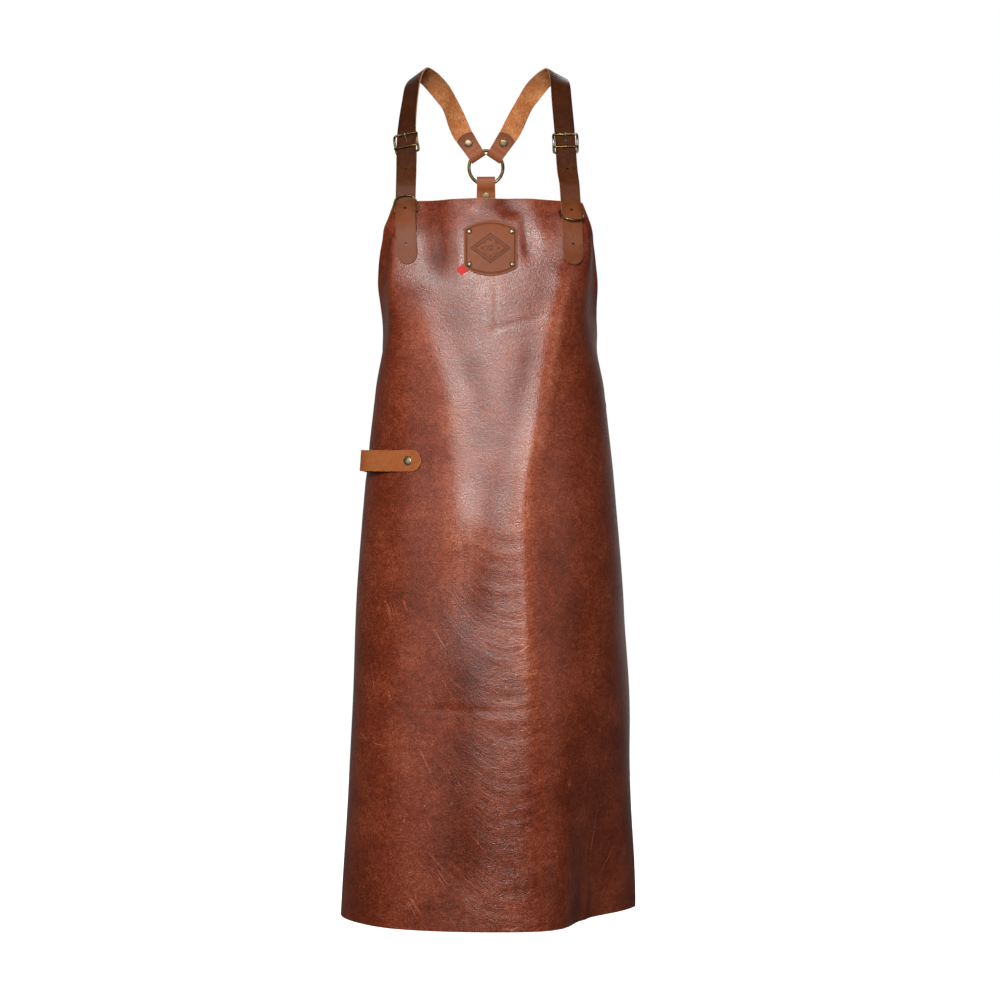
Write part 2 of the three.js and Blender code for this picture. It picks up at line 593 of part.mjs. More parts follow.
function waistRoute(side) {
  const edge = edgeAt(side, WAIST_DROP);
  const stand = GAP + STRAP_THICK / 2;
  const seated = WAIST_SEATS.map((back) => ({
    p: onPanel(side * (edge - back), WAIST_DROP, back ? stand : stand + 0.8),
    n: panelNormal(side * (edge - back), WAIST_DROP),
  }));
  const rows = side < 0 ? WAIST_LINE : WAIST_LINE.slice().reverse();
  const plan = new THREE.CatmullRomCurve3([
    seated[2].p, ...rows.map((r) => V(r.x, r.y, WAIST_Z + 4)),
  ], false, "centripetal");
  const stop = side < 0 ? CLASP_X + WAIST_END : CLASP_X - WAIST_END;
  const free = [];
  for (let i = 1; i <= 60; i += 1) {
    const t = i / 60;
    const p = plan.getPoint(t);
    const tangent = plan.getTangent(t);
    const n = V(-tangent.y, tangent.x, 0).multiplyScalar(-side).normalize();
    if (n.y < 0 && p.y > 60) n.negate();
    const nearClasp = clamp(1 - Math.abs(p.x - CLASP_X) / 70, 0, 1);
    const apart = -side * layer * Math.min(1, nearClasp * 2);
    if (side * (p.x - stop) > 0) free.push({ p: p.addScaledVector(n, apart), n });
  }
  return [...seated, ...free.filter((_, i) => i % 4 === 1 || i === free.length - 1)];
}

for (const side of [-1, 1]) {
  const word = side < 0 ? "left" : "right";
  const at = side * (edgeAt(side, WAIST_DROP) - WAIST_RIVET_IN);
  const axis = panelNormal(at, WAIST_DROP);
  const hole = bore(onPanel(at, WAIST_DROP, 0), axis, RIVET_STRAP.shank + GAP, 12);
  panelCuts.push(hole);
  const frames = roundEnd(route(waistRoute(side), 2), STRAP_WIDTH, true);
  add("waist_strap_" + word, cut(strap(frames, STRAP_WIDTH, STRAP_THICK), [hole]), STRAP_LEATHER);
  const seat = onPanel(at, WAIST_DROP, STRAP_THICK + 2 * GAP);
  const grip = STRAP_THICK + PANEL_THICK + 3 * GAP + CURVE_ROOM / 2;
  add("waist_rivet_" + word, rivet(RIVET_STRAP, seat, axis, grip, 6), PALE_BRASS);
}

// Plain sleeve that clasps the two waist straps
const plan = new THREE.CatmullRomCurve3(WAIST_LINE.map((r) => V(r.x, r.y, 0)), false, "centripetal");
const fromClasp = (t) => Math.abs(plan.getPoint(t).x - CLASP_X);
const claspPlace = [...Array(200).keys()]
  .map((i) => i / 199)
  .reduce((a, t) => (fromClasp(t) < fromClasp(a) ? t : a));
const claspOuter = { wide: STRAP_WIDTH + 7, deep: 2 * STRAP_THICK + 5 };
const claspInner = { wide: STRAP_WIDTH + 1, deep: 2 * STRAP_THICK + 1.3 };
const box = (path, { wide, deep }) => path
  .moveTo(-wide / 2, -deep / 2).lineTo(wide / 2, -deep / 2).lineTo(wide / 2, deep / 2)
  .lineTo(-wide / 2, deep / 2).closePath();
const claspShape = box(new THREE.Shape(), claspOuter);
claspShape.holes.push(box(new THREE.Path(), claspInner));
const claspWay = plan.getTangent(claspPlace).normalize();
const claspFrame = {
  p: plan.getPoint(claspPlace).setZ(WAIST_Z + 4),
  wide: V(0, 0, 1),
  ahead: claspWay.clone().cross(V(0, 0, 1)),
  face: claspWay,
};
const clasp = new THREE.ExtrudeGeometry(claspShape, { depth: CLASP_LENGTH, bevelEnabled: false });
add("waist_clasp", inFrame(clasp.translate(0, 0, -CLASP_LENGTH / 2), claspFrame), BRASS);

// Back strap: folded round the foot of the ring, down the back and round the waist strap
const WAIST_FOLD = {
  fold: -(STRAP_WIDTH / 2 + GAP + STRAP_THICK / 2 + 0.6),
  half: STRAP_THICK + GAP + 0.8,
  straight: STRAP_WIDTH + 4,
  seat: 50,
  flap: 1,
  rest: 66,
};
const backX = RING_CENTRE.x;
const waistCentre = V(backX, 134.1, WAIST_Z + 4);
const ringDown = ringUp.clone().negate();
const backTurn = ringFold(BACK_FOLD);
const backStations = [
  ...folded(RING_CENTRE, ringDown, ringOut, backTurn),
  ...BACK_LINE.map((r) => ({ p: V(backX, r.y, r.z), n: V(0, 1, 0.05) })),
  ...folded(waistCentre, V(0, 0, 1), V(0, 1, 0), WAIST_FOLD).reverse(),
];
const backRun = drawIn(route(backStations, 2), BACK_FOLD.width);
const backFrames = roundEnd(roundEnd(backRun, backRun[0].width, true), STRAP_WIDTH, false);
const topRivetAt = RING_CENTRE.clone().addScaledVector(ringDown, backTurn.fold + backTurn.seat);
const lowRivetAt = waistCentre.clone().addScaledVector(V(0, 0, 1), WAIST_FOLD.fold + WAIST_FOLD.seat);
const foldGrip = 2 * STRAP_THICK + 3 * GAP;
const backHoles = [
  bore(topRivetAt, ringOut, RIVET_STRAP.shank + GAP, 12),
  bore(lowRivetAt, V(0, 1, 0), RIVET_STRAP.shank + GAP, 12),
];
add("back_strap", cut(strap(backFrames, STRAP_WIDTH, STRAP_THICK), backHoles), STRAP_LEATHER);
const topSeat = topRivetAt.clone().addScaledVector(ringOut, -foldGrip / 2);
add("back_rivet_top", rivet(RIVET_STRAP, topSeat, ringOut.clone().negate(), foldGrip), PALE_BRASS);
const lowSeat = lowRivetAt.clone().add(V(0, foldGrip / 2, 0));
add("back_rivet_low", rivet(RIVET_STRAP, lowSeat, V(0, 1, 0), foldGrip, 6), PALE_BRASS);

// Towel loop at the left hip, standing off the panel between its two rivets
const towelStations = TOWEL_ROUTE.map((r) => ({
  p: onPanel(r.along, TOWEL_DROP, r.stand),
  n: panelNormal(r.along, TOWEL_DROP),
}));
const towelFrames = roundEnd(roundEnd(route(towelStations, 2), LOOP_WIDTH, true), LOOP_WIDTH, false);
const towelHoles = [];
for (const [word, at] of Object.entries(TOWEL_RIVETS)) {
  const axis = panelNormal(at, TOWEL_DROP);
  const hole = bore(onPanel(at, TOWEL_DROP, 0), axis, RIVET_LOOP.shank + GAP, 12);
  towelHoles.push(hole);
  panelCuts.push(hole);
  const seat = onPanel(at, TOWEL_DROP, STRAP_THICK + 2 * GAP + 0.1);
  const grip = STRAP_THICK + PANEL_THICK + 3 * GAP + 2 * CURVE_ROOM;
  add("towel_rivet_" + word, rivet(RIVET_LOOP, seat, axis, grip), PALE_BRASS);
}
add("towel_loop", cut(strap(towelFrames, LOOP_WIDTH, STRAP_THICK), towelHoles), TAN_LEATHER);

// Patch on the bib: straight sides, bowed top and foot, eased corners
const patch = bend(10, 5, (u, v, w) => {
  const across = PATCH_WIDTH * (0.5 - 0.5 * Math.cos(Math.PI * u)) - PATCH_WIDTH / 2;
  const fromSide = PATCH_WIDTH / 2 - Math.abs(across);
  const ease = 2.6 * Math.max(0, 1 - fromSide / 2.6) ** 2;
  const tall = PATCH_SIDE / 2 + PATCH_BOW * (1 - (2 * across / PATCH_WIDTH) ** 2) - ease;
  return onPanel(PATCH_AT.along + across, PATCH_AT.drop + tall * (1 - 2 * v), GAP + w * PATCH_THICK);
});
const patchHoles = [];
let patchRivetCount = 0;
for (const down of [-1, 1]) {
  for (const across of [-1, 1]) {
    const at = PATCH_AT.along + across * PATCH_RIVET.across;
    const drop = PATCH_AT.drop + down * PATCH_RIVET.down;
    const axis = panelNormal(at, drop);
    const hole = bore(onPanel(at, drop, 0), axis, RIVET_PATCH.shank + GAP, 10);
    patchHoles.push(hole);
    panelCuts.push(hole);
    patchRivetCount += 1;
    const seat = onPanel(at, drop, PATCH_THICK + 2 * GAP);
    const nail = rivet(RIVET_PATCH, seat, axis, PATCH_THICK + PANEL_THICK + 3 * GAP);
    add("patch_rivet_" + patchRivetCount, nail, PALE_BRASS);
  }
}

// Red ribbon folded under the patch's lower corner, in a shallow pocket of the patch
const tabRoot = {
  along: PATCH_AT.along - PATCH_WIDTH / 2 + 2.5,
  drop: PATCH_AT.drop + PATCH_SIDE / 2 + 0.5,
};
const tabWay = { along: -Math.cos(radians(TAB_ANGLE)), drop: Math.sin(radians(TAB_ANGLE)) };
const onTab = (far, stand) => {
  const along = tabRoot.along + tabWay.along * far;
  const drop = tabRoot.drop + tabWay.drop * far;
  return onPanel(along, drop, stand);
};
const tabNormal = panelNormal(tabRoot.along, tabRoot.drop);
const lowLayer = GAP + RIBBON_THICK / 2;
const highLayer = lowLayer + RIBBON_THICK + 0.2;
const tabTip = onTab(TAB_LENGTH, (lowLayer + highLayer) / 2);
const tabWayOut = onTab(TAB_LENGTH, 1).sub(onTab(0, 1)).normalize();
const tabStations = [
  { p: onTab(-TAB_TUCK, lowLayer), n: tabNormal.clone().negate() },
  { p: onTab(TAB_LENGTH - 0.4, lowLayer), n: tabNormal.clone().negate() },
  { p: tabTip, n: tabWayOut },
  { p: onTab(TAB_LENGTH - 0.4, highLayer), n: tabNormal },
  { p: onTab(-TAB_TUCK, highLayer), n: tabNormal },
];
add("patch_tab", strap(route(tabStations, 3), TAB_WIDTH, RIBBON_THICK), RIBBON);
const tabAcross = tabWayOut.clone().cross(tabNormal).normalize();
const tabFace = tabAcross.clone().cross(tabWayOut);
const pocketFrame = { p: onTab(0, 0), ahead: tabWayOut, wide: tabAcross, face: tabFace };
const pocketTop = highLayer + RIBBON_THICK / 2 + GAP;
const pocket = new THREE.BoxGeometry(TAB_WIDTH + 2 * GAP, 2 * TAB_TUCK + 2 * GAP, 2 * pocketTop);
add("patch", cut(patch, [...patchHoles, inFrame(pocket, pocketFrame)]), TAN_LEATHER);

// Panel, bent from one flat sheet; its rows lie closest together in the bib
const rowDrops = ROWS_BELOW_LEVEL.flatMap((rows, i) => {
  const share = [...Array(rows).keys()].map((k) => k / rows);
  return share.map((t) => lerp(LEFT_HALF[i].drop, LEFT_HALF[i + 1].drop, t));
});
rowDrops.push(PANEL_LENGTH);
const panel = bend(PANEL_COLUMNS, rowDrops.length - 1, (u, v, w) => {
  const drop = rowDrops[Math.round((1 - v) * (rowDrops.length - 1))];
  const along = (2 * u - 1) * edgeAt(u < 0.5 ? -1 : 1, drop);
  return onPanel(along, drop, (w - 1) * PANEL_THICK);
});
add("apron_panel", cut(panel, panelCuts), PANEL_LEATHER);

export default apron;
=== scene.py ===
# %% [markdown]
# # A leather bib apron, dressed for the camera
# The apron hangs in its worn form: one large sheet of waxed leather, seven straps, a towel loop, a badge and
# a set of antique brass fittings. The CAD solids hold every size and place. This lesson gives each of them
# its finished shape and surface. Lengths are worked in millimetres and become metres when a mesh is made.

# %% Load the frame
import math

import bmesh
import bpy
from mathutils import Matrix, Vector, noise


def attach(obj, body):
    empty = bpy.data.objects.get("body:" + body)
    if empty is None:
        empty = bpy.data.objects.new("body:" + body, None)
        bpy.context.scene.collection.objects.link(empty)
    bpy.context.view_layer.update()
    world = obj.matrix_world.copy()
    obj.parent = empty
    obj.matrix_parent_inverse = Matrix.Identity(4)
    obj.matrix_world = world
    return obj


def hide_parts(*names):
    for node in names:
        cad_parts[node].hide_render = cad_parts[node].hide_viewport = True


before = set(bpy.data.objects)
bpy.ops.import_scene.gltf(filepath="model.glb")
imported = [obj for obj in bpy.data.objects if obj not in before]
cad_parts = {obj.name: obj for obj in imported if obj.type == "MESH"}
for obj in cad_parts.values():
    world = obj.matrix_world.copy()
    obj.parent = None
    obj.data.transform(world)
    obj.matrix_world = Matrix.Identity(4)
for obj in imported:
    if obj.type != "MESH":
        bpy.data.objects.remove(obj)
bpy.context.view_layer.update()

MM = 0.001
BODY = "apron"
SIDES = ((-1, "left"), (1, "right"))


def show(name, data):
    """Puts a mesh, curve, lamp or camera into the scene as an object at the origin."""
    thing = bpy.data.objects.new(name, data)
    bpy.context.scene.collection.objects.link(thing)
    return thing


def table(columns, *rows):
    """A short table: each row becomes a dict under the named columns."""
    names = columns.split()
    return [dict(zip(names, row)) for row in rows]


# %% [markdown]
# ## The camera
# The photograph is taken level with the middle of the apron, from almost four metres away, so its lines
# hardly converge. A long lens at the same distance gives the same slight perspective.

# %% Camera
CAMERA_PLACE = (17.2, -3925, -625.3)
PIXEL_MM = 1.43
PIXEL_DEPTH = 3800
IMAGE_PIXELS = 1000
SENSOR_MM = 36

camera_data = bpy.data.cameras.new("camera")
camera_data.sensor_width = SENSOR_MM
camera_data.lens = SENSOR_MM * PIXEL_DEPTH / (PIXEL_MM * IMAGE_PIXELS)
camera = show("camera", camera_data)
camera.location = Vector(CAMERA_PLACE) * MM
camera.rotation_euler = (math.radians(90), 0, 0)
bpy.context.scene.camera = camera
print("lens", round(camera_data.lens, 2), "mm")

# %% [markdown]
# ## The panel's form
# The body of the apron is a flat sheet that bends round the wearer. Leather doesn't stretch, so each level
# section is a curve of fixed length that only turns. A table gives, for each level, four places along the
# leather and how far it has turned back there, in degrees. Walking along the leather and adding up small
# steps gives the section. It is the table of the CAD solid, so the fine sheet lies where the solid lies.

# %% Tables of the panel
BIB_TOP = -193
PANEL_LENGTH = 1047
TOP_ARCH = 2.5
ARCH_FADE = 160
PANEL_THICK = 1.6
PLACES = ("chest", "crease", "side", "edge")

LEFT_HALF = table(
    "drop chest crease side edge",
    (0, (70, 7), (112, 13), (128, 18), (138, 24)),
    (28, (100, 9), (131, 20), (146, 50), (155, 50)),
    (62, (131, 12), (149, 82), (162, 58), (178, 48)),
    (110, (131, 14), (158, 87), (178, 68), (204, 60)),
    (150, (126, 20), (164, 84), (192, 78), (224, 70)),
    (195, (115, 25), (168, 74), (208, 85), (250, 81)),
    (270, (105, 26), (172, 62), (235, 87), (316, 106)),
    (400, (95, 24), (178, 55), (245, 83), (318, 102)),
    (600, (95, 22), (182, 51), (250, 77), (320, 97)),
    (800, (105, 22), (184, 49), (250, 74), (318, 94)),
    (1047, (118, 23), (186, 48), (252, 66), (318, 92)))
RIGHT_HALF = table(
    "drop chest crease side edge",
    (0, (70, 6), (112, 12), (128, 18), (138, 24)),
    (28, (100, 7), (131, 20), (146, 52), (155, 50)),
    (62, (118, 8), (142, 37), (164, 86), (180, 61)),
    (110, (84, 8), (126, 35), (176, 75), (206, 60)),
    (150, (70, 8), (114, 35), (184, 74), (224, 69)),
    (195, (62, 6), (106, 36), (196, 74), (250, 84)),
    (270, (52, 5), (96, 32), (204, 68), (316, 117)),
    (400, (42, 4), (88, 29), (208, 63), (322, 101)),
    (600, (38, 4), (88, 28), (205, 58), (334, 91)),
    (800, (40, 4), (140, 53), (245, 60), (346, 86)),
    (1047, (43, 4), (155, 73), (275, 50), (362, 72)))
FRONT_LINE = table(
    "drop depth", (0, -122), (62, -134), (150, -141), (270, -142), (600, -144), (1047, -150))
print(len(LEFT_HALF), "levels in each half")


# %% Curves through the tables
def clamp(value, low, high):
    return max(low, min(high, value))


def smooth(xs, ys, x):
    """A smooth curve through columns of values that never overshoots them."""
    last = len(xs) - 1
    at = clamp(x, xs[0], xs[last])
    i = 0
    while i < last - 1 and at > xs[i + 1]:
        i += 1

    def slope(k):
        return (ys[k + 1] - ys[k]) / (xs[k + 1] - xs[k])

    def lean(k):
        if k in (0, last):
            return slope(min(k, last - 1))
        before, after = slope(k - 1), slope(k)
        return 0 if before * after <= 0 else 2 * before * after / (before + after)

    width = xs[i + 1] - xs[i]
    t = (at - xs[i]) / width
    ends = (1 + 2 * t) * (1 - t) ** 2 * ys[i] + t * t * (3 - 2 * t) * ys[i + 1]
    return ends + width * (t * (1 - t) ** 2 * lean(i) + t * t * (t - 1) * lean(i + 1))


def column(rows, name, drop, part=None):
    values = [row[name] if part is None else row[name][part] for row in rows]
    return smooth([row["drop"] for row in rows], values, drop)


HALVES = {}


def half_at(side, drop):
    """Distances along the leather and turns in degrees, for one half at one level."""
    key = (side, round(drop, 3))
    if key not in HALVES:
        rows = LEFT_HALF if side < 0 else RIGHT_HALF
        at = [0] + [column(rows, place, drop, 0) for place in PLACES]
        turn = [0] + [column(rows, place, drop, 1) for place in PLACES]
        HALVES[key] = (at, turn)
    return HALVES[key]


def edge_at(side, drop):
    return half_at(side, clamp(drop, 0, PANEL_LENGTH))[0][-1]


print("hem runs", [round(edge_at(side, PANEL_LENGTH)) for side, _ in SIDES], "mm to the left and right")


# %% Points on the panel
WALK_STEP = 3


def walk(side, drop, stops):
    """Outward and backward distance at rising distances along the leather, at one level."""
    at, turn = half_at(side, drop)
    out = back = gone = 0
    found = []
    for stop in stops:
        steps = max(1, math.ceil((stop - gone) / WALK_STEP))
        step = (stop - gone) / steps
        for i in range(steps):
            angle = math.radians(smooth(at, turn, gone + (i + 0.5) * step))
            out += math.cos(angle) * step
            back += math.sin(angle) * step
        gone = stop
        found.append((out, back))
    return found


def placed(side, drop, reach, out, back):
    level = clamp(drop, 0, PANEL_LENGTH)
    arch = TOP_ARCH * (reach / 100) ** 2 * max(0, 1 - level / ARCH_FADE)
    return Vector((side * out, column(FRONT_LINE, "depth", level) + back, BIB_TOP - drop - arch))


def panel_face(along, drop):
    side = -1 if along < 0 else 1
    reach = abs(along)
    out, back = walk(side, clamp(drop, 0, PANEL_LENGTH), [reach])[0]
    return placed(side, drop, reach, out, back)


def panel_normal(along, drop):
    level = clamp(drop, 1, PANEL_LENGTH - 1)
    across = panel_face(along + 1, level) - panel_face(along - 1, level)
    down = panel_face(along, level + 1) - panel_face(along, level - 1)
    return down.cross(across).normalized()


def on_panel(along, drop, stand):
    return panel_face(along, drop) + panel_normal(along, drop) * stand


print("bib centre at", [round(v) for v in panel_face(0, 0)])

# %% [markdown]
# ## One way to add a node, and one for colour
# A material here is a small graph of nodes. One function adds a node, sets what it is told and links what it
# is given. Colours are read off the real thing as sRGB hex values, and shaders want linear light. Patterns
# get their scale from a real size.


# %% Node and colour helpers
def linear(code):
    """An sRGB hex colour as linear red, green, blue and alpha."""
    parts = [int(code[i:i + 2], 16) / 255 for i in (0, 2, 4)]
    return (*[c / 12.92 if c <= 0.04045 else ((c + 0.055) / 1.055) ** 2.4 for c in parts], 1)


def add(tree, kind, inputs=None, **settings):
    """Adds one node: settings are its own values, inputs are socket values or sockets to link."""
    made = tree.nodes.new(kind)
    for name, value in settings.items():
        setattr(made, name, value)
    for name, value in (inputs or {}).items():
        socket = made.inputs[name]
        if isinstance(value, bpy.types.NodeSocket):
            tree.links.new(value, socket)
        else:
            socket.default_value = value
    return made


def start(name):
    material = bpy.data.materials.new(name)
    material.use_nodes = True
    material.node_tree.nodes.clear()
    return material, material.node_tree


def close(tree, **inputs):
    """Ends a material in one shader: inputs are its sockets, with _ for a space."""
    named = {name.replace("_", " "): value for name, value in inputs.items()}
    shader = add(tree, "ShaderNodeBsdfPrincipled", named)
    add(tree, "ShaderNodeOutputMaterial", {"Surface": shader.outputs[0]})


print("node helpers ready")


# %% Pattern helpers
def per_metre(size_mm):
    """A texture's scale for features of a real size, on coordinates in metres."""
    return 1 / (size_mm * MM)


def calc(tree, operation, *values):
    return add(tree, "ShaderNodeMath", dict(enumerate(values)), operation=operation).outputs[0]


def between(tree, value, low, high, first=0, last=1):
    """Carries a value from one range into another, and holds it there."""
    return add(tree, "ShaderNodeMapRange", {
        "Value": value, "From Min": low, "From Max": high, "To Min": first, "To Max": last}).outputs[0]


def cloud(tree, vector, size_mm, detail, rough=0.5):
    return add(tree, "ShaderNodeTexNoise", {
        "Vector": vector, "Scale": per_metre(size_mm), "Detail": detail, "Roughness": rough}).outputs["Fac"]


def stretched(tree, vector, long_mm, short_mm):
    """Coordinates scaled so that one unit is a real length and a real width."""
    return add(tree, "ShaderNodeMapping", {
        "Vector": vector, "Scale": (per_metre(long_mm), per_metre(short_mm), 1)}).outputs[0]


def bumped(tree, height, distance_mm, strength):
    return add(tree, "ShaderNodeBump", {
        "Height": height, "Distance": distance_mm * MM, "Strength": strength}).outputs[0]


def tinted(tree, value, *stops):
    """A colour ramp over a value: its stops are places and hex colours."""
    ramp = add(tree, "ShaderNodeValToRGB", {"Fac": value})
    elements = ramp.color_ramp.elements
    while len(elements) < len(stops):
        elements.new(0.5)
    for element, (place, code) in zip(elements, stops):
        element.position = place
        element.color = linear(code)
    return ramp.outputs["Color"]


print("pattern helpers ready")

# %% [markdown]
# ## Waxed leather
# Pull-up leather is dyed through and filled with wax and oil. Where it bends out the wax moves and the colour
# goes paler, and its hollows are painted darker and duller, as painted shade. Its grain side shows small
# pebbles, clouds of tone, healed scratches, pores, and low on the skirt the growth lines of the hide, which
# hang like smiles. The flat coordinates of the cut sheet are kept as a UV map in metres, so that the grain
# runs with the leather and not with the room. A value on each point carries the paler colour where the wax
# has moved together with the painted shade, and on the straps painted light and shade. All relief is summed
# in millimetres and goes into one Bump node.


# %% Growth lines
GROWTH = {"axis": 33, "bend": 134, "clear": 32, "gone": 96, "begins": 420, "full": 600}


def growth_lines(tree, flat):
    """Flat coordinates bent so that level lines hang like smiles, where they show, and the low part."""
    split = add(tree, "ShaderNodeSeparateXYZ", {"Vector": flat}).outputs
    aside = calc(tree, "SUBTRACT", split["X"], GROWTH["axis"] * MM)
    square = calc(tree, "MULTIPLY", aside, aside)
    level = calc(tree, "MULTIPLY_ADD", square, per_metre(GROWTH["bend"]), split["Y"])
    bent = add(tree, "ShaderNodeCombineXYZ", {"X": aside, "Y": level}).outputs[0]
    near = between(tree, square, (GROWTH["clear"] * MM) ** 2, (GROWTH["gone"] * MM) ** 2, 1, 0)
    low = between(tree, split["Y"], GROWTH["begins"] * MM, GROWTH["full"] * MM)
    return bent, calc(tree, "MULTIPLY", near, low), low


print("growth lines bend over", GROWTH["bend"], "mm")

# %% Healed scratches
SCRATCHES = table(
    "start stop wide",
    ((221, 859), (204, 984), 1.3),
    ((294, 923), (236, 990), 1.3),
    ((-225, 768), (-194, 783), 1),
    ((-194, 783), (-153, 786), 1),
    ((-30, 903), (-1, 934), 1),
    ((-93, 926), (-57, 967), 1),
    ((42, 650), (61, 637), 1.6),
    ((-54, 863.6), (-49, 863.6), 2.4))
SCRATCH_CORE = 0.2


def scratched(tree, flat):
    """1 on a healed scratch and 0 off it. Each scratch is a long thin oval on the flat cut."""
    marked = 0
    for row in SCRATCHES:
        first, last = Vector(row["start"]), Vector(row["stop"])
        run = last - first
        local = add(tree, "ShaderNodeMapping", {
            "Vector": flat, "Location": (*((first + last) / 2 * MM), 0),
            "Rotation": (0, 0, math.atan2(run.y, run.x)),
            "Scale": (run.length / 2 * MM, row["wide"] * MM, 1)}, vector_type="TEXTURE").outputs[0]
        far = add(tree, "ShaderNodeVectorMath", {0: local}, operation="LENGTH").outputs["Value"]
        marked = calc(tree, "MAXIMUM", between(tree, far, SCRATCH_CORE, 1, 1, 0), marked)
    return marked


print(len(SCRATCHES), "healed scratches")

# %% Marks of the hide
SCAR_MM = {"long": 150, "short": 38, "field": 52}
PORE_MM = {"apart": 13, "field": 90}
LINE_MM = {"long": 17, "short": 5}
HIDE_ROUGH = 0.65


def hide_marks(tree, flat, marks):
    """Growth lines about 0, and scars and pores from 0 to 1. Most of them lie low on the skirt."""
    bent, shows, low = growth_lines(tree, flat)
    lines = add(tree, "ShaderNodeTexNoise", {
        "Vector": stretched(tree, bent, LINE_MM["long"], LINE_MM["short"]), "Scale": 1, "Detail": 3,
        "Roughness": 0.6, "Distortion": 0.35}).outputs["Fac"]
    lines = calc(tree, "MULTIPLY", calc(tree, "SUBTRACT", lines, 0.5), calc(tree, "MULTIPLY", shows, marks))
    edge = add(tree, "ShaderNodeTexVoronoi", {
        "Vector": stretched(tree, bent, SCAR_MM["long"], SCAR_MM["short"]), "Scale": 1},
        feature="DISTANCE_TO_EDGE").outputs["Distance"]
    field = between(tree, cloud(tree, flat, SCAR_MM["field"], 1, HIDE_ROUGH), 0.56, 0.68, 0, marks)
    scar = calc(tree, "MULTIPLY", between(tree, edge, 0, 0.02, 1, 0), calc(tree, "MULTIPLY", field, low))
    if marks:
        scar = calc(tree, "MAXIMUM", scar, scratched(tree, flat))
    spot = add(tree, "ShaderNodeTexVoronoi", {
        "Vector": flat, "Scale": per_metre(PORE_MM["apart"])}).outputs["Distance"]
    field = between(tree, cloud(tree, flat, PORE_MM["field"], 1, HIDE_ROUGH), 0.45, 0.6, 0, marks)
    pore = calc(tree, "MULTIPLY", between(tree, spot, 0.06, 0.12, 1, 0), calc(tree, "MULTIPLY", field, low))
    return lines, scar, pore


print("scars, pores and lines ready")

# %% Leather, grain side
TONE_MM = {"clouds": 80, "mottle": 9, "speckle": 2.6, "fine": 1.1}


def waxed_leather(name, tones, pebble_mm, pebble_depth_mm, rough, gleam, marks):
    """Grain side of waxed leather: tones run from dark to pale, gleam is its IOR, marks run from 0 to 1."""
    material, tree = start(name)
    flat = add(tree, "ShaderNodeTexCoord").outputs["UV"]
    # A value on each point: paler where the wax has moved, darker for painted shade, and on straps painted
    # light.
    pull = add(tree, "ShaderNodeAttribute", attribute_name="pull").outputs["Fac"]
    lines, scar, pore = hide_marks(tree, flat, marks)
    clouds, mottle = (cloud(tree, flat, TONE_MM[key], 4, HIDE_ROUGH) for key in ("clouds", "mottle"))
    speckle = calc(tree, "SUBTRACT", cloud(tree, flat, TONE_MM["speckle"], 1, HIDE_ROUGH), 0.5)

    spread = 0.25 + 0.35 * marks
    tone = calc(tree, "MULTIPLY_ADD", mottle, spread * 0.8, 0.5 - spread * 0.9)
    tone = calc(tree, "MULTIPLY_ADD", clouds, spread, tone)
    tone = calc(tree, "ADD", tone, calc(tree, "MULTIPLY_ADD", speckle, 0.7 * marks, pull))
    tone = calc(tree, "MULTIPLY_ADD", lines, 0.3, tone)
    tone = calc(tree, "MULTIPLY_ADD", calc(tree, "MAXIMUM", scar, pore), 0.35, tone)

    pebble = add(tree, "ShaderNodeTexVoronoi", {
        "Vector": flat, "Scale": per_metre(pebble_mm), "Smoothness": 0.3},
        feature="SMOOTH_F1").outputs["Distance"]
    fine = calc(tree, "MULTIPLY", cloud(tree, flat, TONE_MM["fine"], 2, HIDE_ROUGH), pebble_depth_mm * 0.3)
    relief = calc(tree, "MULTIPLY_ADD", pebble, -pebble_depth_mm, fine)
    relief = calc(tree, "MULTIPLY_ADD", lines, 0.45, relief)
    relief = calc(tree, "MULTIPLY_ADD", scar, -0.1, relief)
    # A low value also dulls the shine: painted shade in the hollows and along the shade lines.
    close(
        tree, IOR=gleam, Normal=bumped(tree, relief, 1, 1),
        Base_Color=tinted(tree, tone, *zip((0.25, 0.5, 0.7, 1), tones)),
        Roughness=between(tree, mottle, 0.3, 0.7, rough - 0.06, rough + 0.08),
        Specular_IOR_Level=between(tree, pull, -0.13, 0, 0.5 - 0.36 * marks, 0.5 + 0.04 * marks))
    return material


# Pull-up hide: a dark red-brown with a soft shine that the pebbles break into sparkles.
PANEL_GRAIN = waxed_leather(
    "waxed_pull_up_leather", ("481909", "6e2c16", "8c452b", "b87a60"), pebble_mm=1.6, pebble_depth_mm=0.21,
    rough=0.33, gleam=1.45, marks=1)
# Strap butt: denser and smoother, a yellower brown.
STRAP_GRAIN = waxed_leather(
    "waxed_strap_leather", ("2e1104", "56290a", "7e421e", "9e5a3a"), pebble_mm=2.2, pebble_depth_mm=0.16,
    rough=0.5, gleam=1.34, marks=0)
# Light vegetable tan, for the badge and the loop: even and matt.
TAN_GRAIN = waxed_leather(
    "smooth_tan_leather", ("5a280c", "7a3e18", "a05e34", "c88e5c"), pebble_mm=1.8, pebble_depth_mm=0.12,
    rough=0.5, gleam=1.29, marks=0)
print("grain-side leathers:", PANEL_GRAIN.name, STRAP_GRAIN.name, TAN_GRAIN.name)

# %% [markdown]
# The flesh side is the split underside: undyed tan, matt, with short brushed fibres. A cut edge shows the
# same undyed core, rubbed darker. A "hole" value on the walls of a punched hole paints them almost black,
# as painted shade.

# %% Leather, flesh side and cut edge
SPLIT_CLOUD_MM = 26
# Painted shade inside punched holes: how far their walls go towards black.
HOLE_SHADE = -0.8


